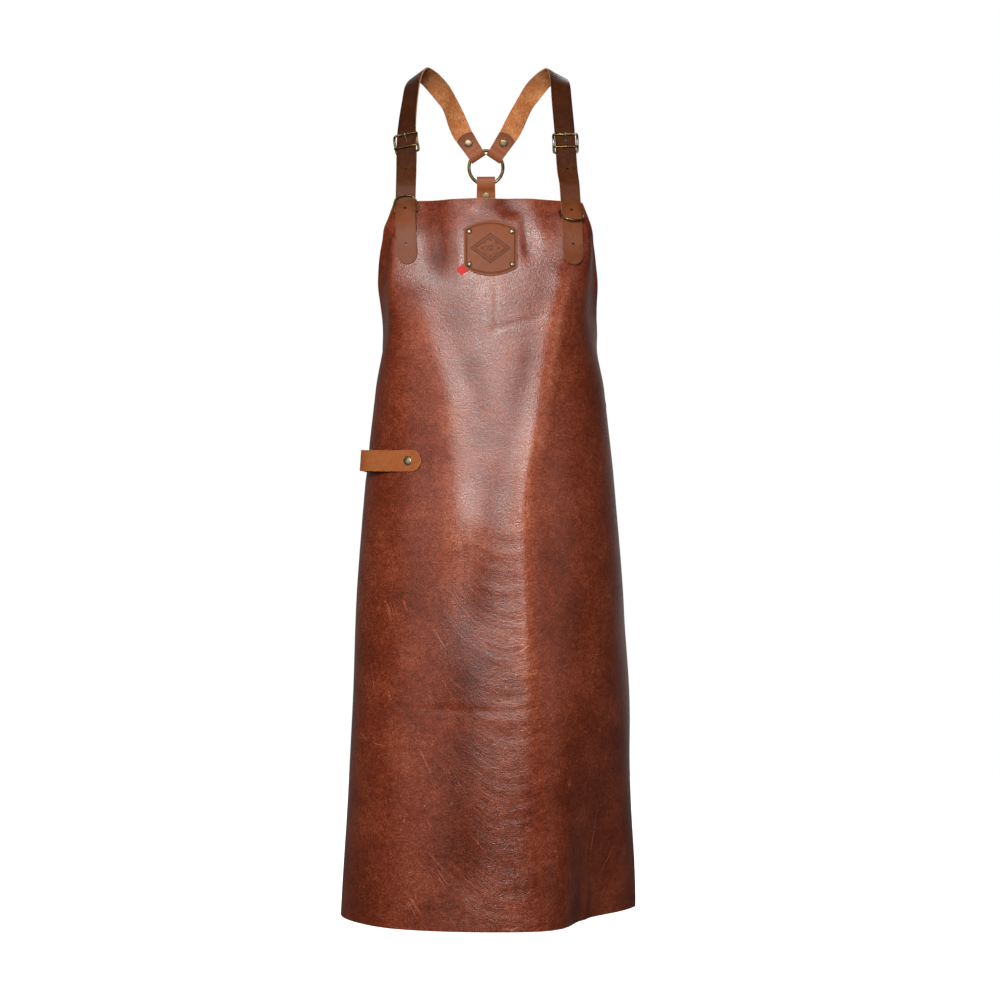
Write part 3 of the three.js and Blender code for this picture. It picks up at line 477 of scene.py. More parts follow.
def split_leather(name, tones, fibre_mm, rough):
    material, tree = start(name)
    flat = add(tree, "ShaderNodeTexCoord").outputs["UV"]
    hole = add(tree, "ShaderNodeAttribute", attribute_name="hole").outputs["Fac"]
    fibre = add(tree, "ShaderNodeTexNoise", {
        "Vector": stretched(tree, flat, fibre_mm, 2 * fibre_mm), "Scale": 1, "Detail": 4, "Roughness": 0.7,
        "Distortion": 1}).outputs["Fac"]
    hole_shade = calc(tree, "MULTIPLY", hole, HOLE_SHADE)
    tone = calc(tree, "MULTIPLY_ADD", cloud(tree, flat, SPLIT_CLOUD_MM, 3), 0.4, hole_shade)
    tone = calc(tree, "MULTIPLY_ADD", fibre, 0.9, tone)
    close(
        tree, Base_Color=tinted(tree, tone, (0, "140a04"), *zip((0.4, 0.62, 0.87), tones)),
        Roughness=rough, Normal=bumped(tree, fibre, 0.4, 0.7), IOR=1.4)
    return material


# Strap underside: pale, fibrous and without shine. The panel's is dyed, and the edge is short and dense.
STRAP_FLESH = split_leather("undyed_flesh_side", ("84441a", "b06c3a", "d69c6c"), fibre_mm=2.4, rough=0.8)
PANEL_FLESH = split_leather("dyed_flesh_side", ("5a3320", "75472f", "8e5e42"), fibre_mm=3, rough=0.85)
CUT_EDGE = split_leather("cut_leather_edge", ("8a5630", "b88052", "d4a478"), fibre_mm=1.2, rough=0.65)
PANEL_FACES = [PANEL_GRAIN, PANEL_FLESH, CUT_EDGE]
STRAP_FACES = [STRAP_GRAIN, STRAP_FLESH, CUT_EDGE]
TAN_FACES = [TAN_GRAIN, STRAP_FLESH, CUT_EDGE]
print("flesh sides and edge:", STRAP_FLESH.name, PANEL_FLESH.name, CUT_EDGE.name)

# %% [markdown]
# ## Antique brass
# The fittings are brass dipped in a dark patina and rubbed back, so the raised parts shine warm and the
# hollows stay brown. The rivets and prongs are rubbed further and look pale, and the nails are the brightest.

# %% Brass
PATINA_MM = 9
SPECK_MM = 0.9


def antique_brass(name, patina, metal, bright, rough):
    material, tree = start(name)
    place = add(tree, "ShaderNodeTexCoord").outputs["Object"]
    clouds = cloud(tree, place, PATINA_MM, 3, 0.6)
    speck = cloud(tree, place, SPECK_MM, 2)
    tone = calc(tree, "ADD", clouds, calc(tree, "MULTIPLY_ADD", speck, 0.16, -0.08))
    close(
        tree, Base_Color=tinted(tree, tone, (0.3, patina), (0.5, metal), (0.72, bright)), Metallic=1,
        Roughness=between(tree, clouds, 0.3, 0.7, rough + 0.08, rough - 0.05),
        Normal=bumped(tree, speck, 0.02, 0.5))
    return material


# Dark brass of the rings and buckles: brown, with narrow warm highlights.
BRASS = antique_brass("antique_brass", "40341a", "72603a", "a48f60", rough=0.38)
# Rubbed brass of the rivets and prongs: paler and more matt.
PALE_BRASS = antique_brass("rubbed_brass", "564c36", "786c50", "9a8e70", rough=0.5)
# Bright brass of the nails on the badge and the loop: pale, with a clear glint.
NAIL_BRASS = antique_brass("nail_brass", "64543e", "9c8c74", "d2c8b4", rough=0.42)
print("brasses:", BRASS.name, PALE_BRASS.name, NAIL_BRASS.name)

# %% [markdown]
# ## Woven ribbon
# The small red loop under the badge is a grosgrain ribbon: ribs across a flat weave. Two wave textures at
# right angles make the ribs and the warp, drawn a little coarser than real thread so that they show.

# %% Ribbon
WAVE_UNIT = 2 * math.pi / 20
THREAD_MM = {"Y": 1.6, "X": 1.2}


def woven_ribbon(name, low, high):
    material, tree = start(name)
    flat = add(tree, "ShaderNodeTexCoord").outputs["UV"]
    ribs, warp = (add(tree, "ShaderNodeTexWave", {
        "Vector": flat, "Scale": WAVE_UNIT * per_metre(size), "Distortion": 0.3},
        bands_direction=way).outputs["Fac"] for way, size in THREAD_MM.items())
    weave = calc(tree, "MULTIPLY", ribs, warp)
    close(
        tree, Base_Color=tinted(tree, weave, (0, low), (0.8, high)), Roughness=0.75, Sheen_Weight=0.08,
        Normal=bumped(tree, weave, 0.15, 0.6))
    return material


# Dyed grosgrain: a clear red, matt, with fine dark lines between the ribs.
RIBBON_RED = woven_ribbon("red_grosgrain_ribbon", "a81410", "e42c26")
print("ribbon:", RIBBON_RED.name)

# %% [markdown]
# ## Finishing an object
# Every piece ends the same way: its mesh becomes an object at the origin, it rides on a body of the frame
# and it stands for a CAD node. A sheet of leather also keeps its flat coordinates and gets its thickness
# last.

# %% Finish helpers
EDGE_ANGLE = math.radians(50)


def finished(name, bm, materials, node, body=BODY):
    """Makes a piece from a bmesh in metres and ties it to the frame."""
    mesh = bpy.data.meshes.new(name)
    bm.to_mesh(mesh)
    bm.free()
    piece = show(name, mesh)
    for material in materials:
        mesh.materials.append(material)
    mesh.polygons.foreach_set("use_smooth", [True] * len(mesh.polygons))
    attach(piece, body)
    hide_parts(node)
    return piece


def lay_flat(bm, flat_of):
    """Keeps each point's place on the flat cut, in metres, as a UV map."""
    uv_layer = bm.loops.layers.uv.new("flat")
    for face in bm.faces:
        for loop in face.loops:
            loop[uv_layer].uv = Vector(flat_of[loop.vert]) * MM


def thicken(piece, thick, offset, bevel_mm):
    """Gives a leather sheet its thickness: grain outside, flesh inside, cut edge between."""
    wall = piece.modifiers.new("thickness", "SOLIDIFY")
    wall.thickness = thick * MM
    wall.offset = offset
    wall.use_even_offset = True
    wall.material_offset = 1
    wall.material_offset_rim = 2
    edge = piece.modifiers.new("rubbed_edge", "BEVEL")
    edge.width = bevel_mm * MM
    edge.segments = 2
    edge.limit_method = "ANGLE"
    edge.angle_limit = EDGE_ANGLE
    edge.material = 2
    normals = piece.modifiers.new("normals", "WEIGHTED_NORMAL")
    normals.keep_sharp = True


print("finish helpers ready")

# %% [markdown]
# ## The panel
# A grid is laid over the flat cut and each point is moved to its place on the bent sheet. Small folds are
# then pressed in along the surface's normals: a short table gives each fold its line, its width and its
# height, and low noise gives the slight waves that no real hide is without. Folds fade out where a strap,
# the badge or the loop lies on the leather, so that those stay flat on it, though under a strap a hollow may
# sink. A second table names lines of painted shade: along them the leather is painted darker and duller, and
# its form stays as it is.

# %% Folds of the panel
FOLDS = table(
    "name width height fade line",
    ("bib left hollow", 20, -3.8, (0, 70), [(-78, 0), (-72, 70), (-64, 140)]),
    ("bib right hollow", 15, -2.4, (0, 40), [(24, 2), (66, 104)]),
    ("bib right ridge", 13, 1.3, (0, 40), [(62, 2), (86, 80)]),
    ("bib top ridge", 12, 1, (0, 16), [(-16, 0), (-22, 26)]),
    ("left fold", 26, 2.8, (50, 150),
     [(-112, 137), (-86, 211), (-59, 291), (-53, 354), (-46, 428), (-43, 490)]),
    ("right fold", 18, 4.6, (50, 330),
     [(120, 84), (112, 123), (98, 180), (81, 291), (70, 341), (56, 397), (50, 444), (52, 505), (56, 582),
      (60, 720), (60, 900)]),
    ("belly valley", 22, -2.4, (80, 110), [(8, 370), (4, 470), (-10, 560), (-20, 680)]),
    ("belly bulge", 58, 5, (60, 60), [(-100, 466), (-30, 474), (50, 466)]),
    ("packing crease down", 4, -0.45, (30, 0), [(11.5, 112), (11, 190)]),
    ("packing crease across", 4, -0.45, (0, 40), [(4, 190), (97, 164)]),
    ("thigh crease", 5, -0.5, (40, 60), [(-130, 728), (60, 735)]),
    ("hem ripple", 12, 2.4, (60, 0), [(196, 960), (206, 1047)]))
# Lines of painted shade: darker and duller leather, with no fold.
SHADE_LINES = table(
    "name width pull fade line",
    ("left chest", 16, -0.06, (30, 40), [(-30, 215), (-16, 265), (2, 330)]),
    ("right chest", 15, -0.06, (30, 40), [(62, 200), (46, 260), (34, 320)]),
    ("left thigh", 32, -0.1, (90, 60), [(-36, 600), (-38, 700), (-30, 860), (-24, 1000)]))
FLAT_PLACES = table(
    "name along drop half_wide half_tall sinks",
    ("badge", 4, 73, 39, 41, False),
    ("left strap", -116.5, 34, 17, 62, True),
    ("right strap", 120, 34, 17, 62, True),
    ("left bib rivet", -117, 44, 5, 5, False),
    ("right bib rivet", 120, 44, 5, 5, False),
    ("loop front", -118, 376, 26, 17, False),
    ("loop rear", -250, 376, 24, 17, False),
    ("waist left", -297, 290, 24, 17, False),
    ("waist right", 297, 290, 24, 17, False))
FLAT_FADE = 14
print(len(FOLDS), "folds,", len(SHADE_LINES), "shaded lines and", len(FLAT_PLACES), "flat places")


# %% Height of the folds
WAVE_MM = {"wide": 95, "tall": 160, "height": 1.3, "seed": 3.1}
WRINKLE_MM = {"long": 60, "short": 13, "height": 0.5, "seed": 8.7, "ease": 170, "least": 0.2}


def eased(share):
    share = clamp(share, 0, 1)
    return share * share * (3 - 2 * share)


def fold_share(along, drop, fold):
    """How much of a fold is felt at a place: 1 on its line, less to its sides and towards its ends."""
    best, at, gone = math.inf, 0, 0
    for (x0, y0), (x1, y1) in zip(fold["line"], fold["line"][1:]):
        run_x, run_y = x1 - x0, y1 - y0
        run = math.hypot(run_x, run_y)
        share = clamp(((along - x0) * run_x + (drop - y0) * run_y) / run ** 2, 0, 1)
        far = math.hypot(along - x0 - run_x * share, drop - y0 - run_y * share)
        if far < best:
            best, at = far, gone + share * run
        gone += run
    first, last = fold["fade"]
    ends = (eased(at / first) if first else 1) * (eased((gone - at) / last) if last else 1)
    return ends * math.exp(-((best / fold["width"]) ** 2))


def summed(along, drop, rows, name):
    return sum(row[name] * fold_share(along, drop, row) for row in rows)


def settled(along, drop, height):
    """The height that is left of a fold where something lies on the leather."""
    free = 1
    for place in FLAT_PLACES:
        if height < 0 and place["sinks"]:
            continue
        beside = abs(along - place["along"]) - place["half_wide"]
        above = abs(drop - place["drop"]) - place["half_tall"]
        free = min(free, clamp(max(beside, above) / FLAT_FADE, 0, 1))
    return height * eased(free)


def fold_height(along, drop):
    """How far the leather stands out of its smooth form, in millimetres."""
    wave = noise.noise(Vector((along / WAVE_MM["wide"], drop / WAVE_MM["tall"], WAVE_MM["seed"])))
    aside = along - GROWTH["axis"]
    level = drop + aside * aside / GROWTH["bend"]
    wrinkle = noise.noise(Vector((
        along / WRINKLE_MM["long"], level / WRINKLE_MM["short"], WRINKLE_MM["seed"])))
    low = clamp((drop - GROWTH["begins"]) / WRINKLE_MM["ease"], 0, 1)
    low *= clamp(1 - abs(aside) / GROWTH["gone"], 0, 1)
    height = summed(along, drop, FOLDS, "height") + WAVE_MM["height"] * wave
    return settled(along, drop, height + WRINKLE_MM["height"] * wrinkle * (WRINKLE_MM["least"] + low))


print("left hollow", round(fold_height(-72, 70), 1), "mm, right fold", round(fold_height(52, 505), 1), "mm")

# %% Panel mesh
PANEL_COLUMNS = 144
PANEL_ROWS = 270
# Tone per millimetre of fold height: paler on ridges, painted shade in hollows, held within a range.
TONE_AND_SHADE_PER_MM = 0.04
TONE_AND_SHADE_RANGE = (-0.22, 0.2)
PANEL_BEVEL = 0.7

bm = bmesh.new()
bmesh.ops.create_grid(bm, x_segments=PANEL_COLUMNS, y_segments=PANEL_ROWS, size=0.5)
tone_and_shade_layer = bm.verts.layers.float.new("pull")
rows = {}
for vert in bm.verts:
    rows.setdefault(round((0.5 - vert.co.y) * PANEL_ROWS), []).append(vert)
flat_of = {}
for row, verts in rows.items():
    drop = PANEL_LENGTH * row / PANEL_ROWS
    for side, _ in SIDES:
        edge = edge_at(side, drop)
        half = [v for v in verts if (v.co.x < -1e-6) == (side < 0)]
        half.sort(key=lambda v: abs(v.co.x))
        reaches = [abs(v.co.x) * 2 * edge for v in half]
        for vert, reach, (out, back) in zip(half, reaches, walk(side, drop, reaches)):
            flat_of[vert] = (side * reach, drop)
            vert.co = placed(side, drop, reach, out, back)
bm.normal_update()
for vert in bm.verts:
    height = fold_height(*flat_of[vert])
    # Paler on ridges where the wax moves; darker and duller in hollows and along the shade lines, as painted
    # shade.
    vert[tone_and_shade_layer] = clamp(TONE_AND_SHADE_PER_MM * height + summed(*flat_of[vert], SHADE_LINES, "pull"), *TONE_AND_SHADE_RANGE)
    vert.co = (vert.co + vert.normal * height) * MM
lay_flat(bm, flat_of)
panel = finished("leather_panel", bm, PANEL_FACES, "apron_panel")
thicken(panel, PANEL_THICK, -1, PANEL_BEVEL)
FLAT_WIDTH = edge_at(-1, PANEL_LENGTH) + edge_at(1, PANEL_LENGTH)

# %% [markdown]
# ## Straps
# A strap is a long flat strip that follows a route. Each station of a route is a point and the way the
# grain side looks there. A smooth curve through the stations gives close-set frames, and a narrow grid is
# laid along them. Punched holes are made in the grid itself: the point at the hole's place is taken out and
# its eight neighbours are drawn onto a circle. Thickness comes last, so each hole gets its own wall.


# %% Curves and frames
def spline(points, share, closed=False):
    """A centripetal curve through points, at a share of its length from 0 to 1."""
    count = len(points)
    place = (count if closed else count - 1) * share
    i = int(place)
    t = place - i
    if closed:
        near = [points[(i + k) % count] for k in (-1, 0, 1, 2)]
    else:
        if i >= count - 1:
            i, t = count - 2, 1
        before = points[i - 1] if i > 0 else 2 * points[0] - points[1]
        after = points[i + 2] if i + 2 < count else 2 * points[-1] - points[-2]
        near = [before, points[i], points[i + 1], after]
    gaps = [max((near[k + 1] - near[k]).length ** 0.5, 1e-4) for k in range(3)]
    a, b, c, d = near
    lead = ((b - a) / gaps[0] - (c - a) / (gaps[0] + gaps[1]) + (c - b) / gaps[1]) * gaps[1]
    trail = ((c - b) / gaps[1] - (d - b) / (gaps[1] + gaps[2]) + (d - c) / gaps[2]) * gaps[1]
    square, cube = t * t, t * t * t
    return b + lead * t + (3 * (c - b) - 2 * lead - trail) * square + (2 * (b - c) + lead + trail) * cube


def sampled(points, count, closed=False):
    last = count if closed else count - 1
    return [spline(points, k / last, closed) for k in range(count)]


def route(stations, steps, width):
    """Frames along a route of stations, each a point and the way the grain side looks."""
    count = (len(stations) - 1) * steps
    points = sampled([p for p, _ in stations], count + 1)
    looks = sampled([n for _, n in stations], count + 1)
    frames = []
    for i, point in enumerate(points):
        ahead = (points[min(i + 1, count)] - points[max(i - 1, 0)]).normalized()
        wide = ahead.cross(looks[i]).normalized()
        frames.append({"p": point, "wide": wide, "ahead": ahead, "face": wide.cross(ahead), "width": width})
    return frames


def laid(along, drop, stand):
    """A station on the panel's face."""
    return on_panel(along, drop, stand), panel_normal(along, max(drop, 2))


print("route helpers ready")

# %% Rounded ends
ROUND_STEPS = 7
ROUND_TURN = math.radians(84)


def round_end(frames, at_start, reach=None):
    """Adds ever narrower frames so that a strap's end is rounded, by half its width or a given reach."""
    frames = frames[::-1] if at_start else frames[:]
    tip = frames.pop()
    way = -1 if at_start else 1
    for k in range(ROUND_STEPS + 1):
        angle = ROUND_TURN * k / ROUND_STEPS
        shift = tip["ahead"] * (way * (reach or tip["width"] / 2) * math.sin(angle))
        frames.append({**tip, "p": tip["p"] + shift, "width": tip["width"] * math.cos(angle)})
    return frames[::-1] if at_start else frames


def round_ends(frames, reach=None):
    """Rounds both ends, the first of them by a given reach."""
    return round_end(round_end(frames, True, reach), False)


print("ends are rounded in", ROUND_STEPS, "steps")

# %% Strap mesh
STRAP_COLUMNS = 10
STRAP_BEVEL = 0.3


def punch(bm, point, radius, hole_layer):
    """Opens a round hole in a sheet round its point nearest to a place; its walls get painted shade."""
    middle = min(bm.verts, key=lambda v: (v.co - point).length_squared)
    middle.co = point
    ring = {v for face in middle.link_faces for v in face.verts} - {middle}
    for vert in ring:
        vert.co = point + (vert.co - point).normalized() * radius
        vert[hole_layer] = 1
    bmesh.ops.delete(bm, geom=[middle], context="VERTS")


def strap(name, frames, thick, materials, node, holes=(), slits=(), pull=None):
    """A flat strip along frames. Holes are points and radii; slits are points and half sizes."""
    last = len(frames) - 1
    bm = bmesh.new()
    bmesh.ops.create_grid(bm, x_segments=STRAP_COLUMNS, y_segments=last, size=0.5)
    gone = [0]
    for a, b in zip(frames, frames[1:]):
        gone.append(gone[-1] + (b["p"] - a["p"]).length)
    tone_and_shade_layer = bm.verts.layers.float.new("pull")
    hole_layer = bm.verts.layers.float.new("hole")
    flat_of = {}
    for vert in bm.verts:
        i = round((vert.co.y + 0.5) * last)
        f = frames[i]
        aside = vert.co.x * f["width"]
        flat_of[vert] = (aside, gone[i])
        vert[tone_and_shade_layer] = pull(f, vert.co.x) if pull else 0
        vert.co = f["p"] + f["wide"] * aside
    lay_flat(bm, flat_of)
    for point, half in slits:
        inside = [f for f in bm.faces if (f.calc_center_median() - point).length < half]
        bmesh.ops.delete(bm, geom=inside, context="FACES")
    for point, radius in holes:
        punch(bm, point, radius, hole_layer)
    bmesh.ops.scale(bm, vec=(MM, MM, MM), verts=bm.verts)
    thicken(finished(name, bm, materials, node), thick, 0, STRAP_BEVEL)
    print(name, "is", round(gone[-1]), "mm long")


# %% Sizes of the straps and the ring
GAP = 0.3
STRAP_THICK = 2.2
UNDER_THICK = 1.6
STRAP_WIDTH = 29.5
RING_RADIUS = 25.7
RING_WIRE = 2.5
RING_CENTRE = Vector((-4, 100, -122))
RING_TILT = math.radians(10)
RING_UP = Vector((0, -math.sin(RING_TILT), math.cos(RING_TILT)))
RING_OUT = Vector((0, math.cos(RING_TILT), math.sin(RING_TILT)))
STEPS = 6
print("strap", STRAP_WIDTH, "mm wide and", STRAP_THICK, "mm thick")

# %% Folds round a bar
FOLD_ROOM = {"near": 0.5, "half": 0.3, "lip": 0.35}
FOLD_LEAD = {"flap": 4, "bar": 7, "rest": 9}
TURN_STOPS = [math.radians(degrees) for degrees in (45, 90, 135)]
DRAW_REACH = 40


def ring_fold(fold):
    """Sizes of a strap's turn round the ring: its edges ride lower on the round wire than its middle."""
    touch = math.sqrt(RING_RADIUS ** 2 - (fold["width"] / 2) ** 2) - RING_WIRE
    near = touch - GAP - STRAP_THICK / 2 - FOLD_ROOM["near"] - fold["slack"]
    half = RING_WIRE + GAP + STRAP_THICK / 2 + FOLD_ROOM["half"]
    return {**fold, "fold": near, "half": half, "straight": RING_RADIUS - near + RING_WIRE}


def folded(centre, along, out, size):
    """Stations from a flap's end, round the fold, and along the strap."""
    tight = (STRAP_THICK + GAP) / 2
    half, straight, seat = size["half"], size["straight"], size["seat"]

    def spot(a, b):
        return centre + along * (size["fold"] + a) + out * b

    def arm(sign):
        spots = [spot(seat - FOLD_LEAD["flap"], sign * tight),
                 spot(straight + FOLD_LEAD["bar"], sign * (tight + FOLD_ROOM["lip"])),
                 spot(straight, sign * half), spot(half, sign * half)]
        return [(place, out * sign) for place in spots]

    turn = []
    for angle in TURN_STOPS:
        n = along * -math.sin(angle) + out * -math.cos(angle)
        turn.append((spot(half, 0) + n * half, n))
    rest = [(spot(seat + FOLD_LEAD["rest"], tight), out), (spot(size["rest"], tight), out)]
    return [(spot(seat + size["flap"], -tight), -out)] + arm(-1) + turn + arm(1)[::-1] + rest


def draw_in(frames, fold_width):
    """Straps narrow a little where they turn round the ring."""
    for f in frames:
        far = clamp(((f["p"] - RING_CENTRE).length - RING_RADIUS) / DRAW_REACH, 0, 1)
        f["width"] = fold_width + (STRAP_WIDTH - fold_width) * far
    return frames


print("folds ready")

# %% [markdown]
# ## Turned and bent metal
# A rivet is turned: a profile of a few points is spun round its axis. Rings, buckles and prongs are bent
# wire: a curve with a round section, made into a mesh.

# %% Rivets
RIVET_STRAP = {"cap": 6, "rise": 1.5, "shank": 1.6, "rear": 5}
RIVET_BIB = {"cap": 4.5, "rise": 1.5, "shank": 1.5, "rear": 5}
RIVET_LOOP = {"cap": 6.8, "rise": 2.4, "shank": 1.7, "rear": 5.5}
RIVET_PATCH = {"cap": 3.7, "rise": 2.9, "shank": 1.1, "rear": 3}
FOLD_GRIP = 2 * STRAP_THICK + 3 * GAP
CURVE_ROOM = 0.4
SPIN_STEPS = 28
DOME_STEPS = 7
DOME_FOOT = 0.22
REAR_CAP = 0.8
RIM = 0.2


def rivet(node, size, point, axis, grip, material=PALE_BRASS):
    """A domed cap on the grain side, a shank, and a flat cap behind, spun round an axis."""
    cap, rise, shank, rear = size["cap"], size["rise"], size["shank"], size["rear"]
    dome = [(cap * math.cos(a), rise * (DOME_FOOT + (1 - DOME_FOOT) * math.sin(a)))
            for a in (math.radians(90) * k / DOME_STEPS for k in range(DOME_STEPS))]
    back = -grip - REAR_CAP
    profile = [(0, back), (rear - RIM, back), (rear, back + RIM), (rear, -grip), (shank, -grip), (shank, 0),
               (cap - RIM, 0), (cap, rise * 0.1), *dome, (0, rise)]
    bm = bmesh.new()
    verts = [bm.verts.new((r, 0, h)) for r, h in profile]
    edges = [bm.edges.new(pair) for pair in zip(verts, verts[1:])]
    bmesh.ops.spin(bm, geom=verts + edges, axis=(0, 0, 1), cent=(0, 0, 0), steps=SPIN_STEPS,
                   angle=2 * math.pi, use_merge=True)
    bmesh.ops.remove_doubles(bm, verts=bm.verts, dist=1e-4)
    bmesh.ops.recalc_face_normals(bm, faces=bm.faces)
    aimed = Matrix.Translation(point) @ axis.to_track_quat("Z", "Y").to_matrix().to_4x4()
    bmesh.ops.transform(bm, matrix=Matrix.Scale(MM, 4) @ aimed, verts=bm.verts)
    finished(node + "_turned", bm, [material], node)


def panel_rivet(node, size, along, drop, over, room=0, lift=0, material=PALE_BRASS):
    """A rivet through the panel and a layer of leather over it, with room for the panel's curve."""
    rivet(node, size, on_panel(along, drop, over + 2 * GAP + lift), panel_normal(along, drop),
          over + PANEL_THICK + 3 * GAP + room, material)


def fold_rivet(node, point, axis):
    """A rivet through a strap and its folded flap, from the middle between them."""
    rivet(node, RIVET_STRAP, point + axis * FOLD_GRIP / 2, axis, FOLD_GRIP)


print("rivets grip", round(FOLD_GRIP, 1), "mm of folded strap")

# %% Wires
WIRE_SIDES = 4
NECK = 0.8


def wire_mesh(points, radius, closed, necks=()):
    """A bent wire as a bmesh in metres. Necks are the places of its points that are filed thinner."""
    curve = bpy.data.curves.new("wire", "CURVE")
    curve.dimensions = "3D"
    curve.bevel_depth = radius * MM
    curve.bevel_resolution = WIRE_SIDES
    curve.use_fill_caps = True
    line = curve.splines.new("POLY")
    line.points.add(len(points) - 1)
    for i, (spot, p) in enumerate(zip(line.points, points)):
        spot.co = (*(p * MM), 1)
        spot.radius = NECK if i in necks else 1
    line.use_cyclic_u = closed
    holder = show("wire", curve)
    bm = bmesh.new()
    bm.from_mesh(bpy.data.meshes.new_from_object(holder))
    bpy.data.objects.remove(holder)
    return bm


def joined(*parts):
    """Several bmeshes as one."""
    scratch = bpy.data.meshes.new("joined")
    whole = bmesh.new()
    for part in parts:
        part.to_mesh(scratch)
        part.free()
        whole.from_mesh(scratch)
    bpy.data.meshes.remove(scratch)
    return whole


print("wire helpers ready")

# %% [markdown]
# ## The back ring
# Both shoulder straps and the back strap meet in a ring of brass wire. It is bent round and closed with a
# butt joint, which shows as a fine dark line on its right side.

# %% Back ring
RING_POINTS = 96
JOINT_ANGLE = math.radians(-8)
JOINT_WIDE = 0.5

joint = JOINT_WIDE / RING_RADIUS
turns = [-joint, 0, joint] + [2 * math.pi * k / RING_POINTS for k in range(1, RING_POINTS)]
ring_points = []
for turn in turns:
    across = Vector((math.cos(JOINT_ANGLE + turn), 0, 0))
    ring_points.append(RING_CENTRE + RING_RADIUS * (across + RING_UP * math.sin(JOINT_ANGLE + turn)))
ring = wire_mesh(ring_points, RING_WIRE, True, necks=(turns.index(0),))
finished("back_ring_wire", ring, [BRASS], "back_ring")
print("ring", round(2 * (RING_RADIUS + RING_WIRE), 1), "mm across")

# %% [markdown]
# ## Routes of the shoulder straps
# Each shoulder strap starts as a flap folded round the ring and held by a rivet. It goes over the shoulder,
# through its buckle and on as a free tail that lies on the bib. The stations of its route are chosen: first
# those of the fold, then those over the shoulder, then those on the panel.

# %% Shoulder routes
SHOULDER_FOLD = {"width": 24.5, "slack": 0.8, "seat": 28, "flap": 9, "bow": 6, "rest": 46}
RING_SPREAD = math.radians(39)
STRAP_LEAN = math.radians(33.5)
SHOULDER_ROUTE = table(
    "left right y z left_out right_out back up",
    (-60, 56, 65, -28, 0.85, 0.75, 0.72, 0.36),
    (-81, 77, 37, -4, 0.38, 0.3, 0.44, 0.82),
    (-92.5, 89.5, 19, 4, 0.42, 0.36, 0.2, 0.88),
    (-101.5, 98.5, 2, 5, 0.56, 0.45, -0.05, 0.83),
    (-110, 105, -24, -11.5, 0.62, 0.2, -0.55, 0.56),
    (-114.3, 107.2, -47, -42, 0.62, 0.08, -0.72, 0.38),
    (-117.5, 109.8, -68, -78, 0.5, 0.05, -0.82, 0.32),
    (-118.2, 111.5, -81, -104, 0.36, 0.04, -0.9, 0.33),
    (-117.5, 114, -102, -150, 0.2, 0.06, -0.93, 0.3))
TAIL_ROUTE = table(
    "drop stand left right",
    (-22, 4.4, 117.5, 116.5),
    (0, 6.6, 117.5, 117.4),
    (16.5, 7, 117.5, 118.5),
    (42, 6, 117, 119.5),
    (62, 4, 116.5, 121),
    (79, 2.6, 115.5, 122))
BUCKLE_STATION = -len(TAIL_ROUTE) - 2


def shoulder_run(side, word):
    """A shoulder strap's frames, the buckle's own frame, which runs up the strap, and the rivet's place."""
    turn_back = ring_fold(SHOULDER_FOLD)
    held_at, along_strap = (RING_UP * math.cos(a) + Vector((side * math.sin(a), 0, 0))
                            for a in (RING_SPREAD, STRAP_LEAN))
    fold_centre = RING_CENTRE + (held_at - along_strap) * turn_back["fold"]
    stations = folded(fold_centre, along_strap, RING_OUT, turn_back)
    for row in SHOULDER_ROUTE:
        look = Vector((side * row[word + "_out"], row["back"], row["up"])).normalized()
        stations.append((Vector((row[word], row["y"], row["z"])), look))
    stations += [laid(side * row[word], row["drop"], row["stand"]) for row in TAIL_ROUTE]
    frames = draw_in(route(stations, STEPS, STRAP_WIDTH), SHOULDER_FOLD["width"])
    at = frames[STEPS * (len(stations) + BUCKLE_STATION)]
    here = {"p": at["p"], "face": at["face"], "wide": -at["wide"], "ahead": -at["ahead"]}
    return frames, here, fold_centre + along_strap * (turn_back["fold"] + turn_back["seat"])


RUNS = {word: shoulder_run(side, word) for side, word in SIDES}
print("buckles at", [[round(v) for v in here["p"]] for _, here, _ in RUNS.values()])

# %% [markdown]
# ## Buckles
# A buckle is a wire frame with rounded corners, whose foot lies behind the strap and whose head lies on it. A
# thinner keeper bar is soldered across its front. The prong turns on the foot and comes up through a hole.

# %% Shapes of the buckle
BUCKLE_WIDTH = 34.6
BUCKLE_HEIGHT = 25
BUCKLE_TOP = 7
BUCKLE_WIRE = 1.8
BUCKLE_CORNER = 2.6
CORNER_CUT = 0.7
KEEPER_DROP = 21
KEEPER_WIRE = 1.5
PRONG_WIRE = 1.5
FOOT = BUCKLE_TOP - BUCKLE_HEIGHT
BAR_FRONT = STRAP_THICK / 2 + GAP + BUCKLE_WIRE + 0.2
BAR_REAR = -(STRAP_THICK / 2 + 3 * GAP + UNDER_THICK + BUCKLE_WIRE + 1)
BAR_RUN = 0.55 * BUCKLE_HEIGHT


def bar_depth(y):
    return BAR_REAR + (BAR_FRONT - BAR_REAR) * clamp((y - FOOT) / BAR_RUN, 0, 1)


def buckle_loop():
    half, top, c, cut = BUCKLE_WIDTH / 2, BUCKLE_TOP, BUCKLE_CORNER, CORNER_CUT
    right = [(half - c, top), (half - cut, top - cut), (half, top - c), (half, -2), (half, -10),
             (half, FOOT + c), (half - cut, FOOT + cut), (half - c, FOOT)]
    left = [(-x, y) for x, y in right[::-1]]
    return [Vector((x, y, bar_depth(y))) for x, y in [(0, top), *right, (0, FOOT), *left]]


def keeper_line():
    half, y = BUCKLE_WIDTH / 2, BUCKLE_TOP - KEEPER_DROP
    right = [Vector((half - 3, y, BAR_FRONT)), Vector((half - 0.4, y + 0.6, BAR_FRONT - 1.2)),
             Vector((half, y + 3, bar_depth(y + 3)))]
    return [Vector((-p.x, p.y, p.z)) for p in right[::-1]] + right


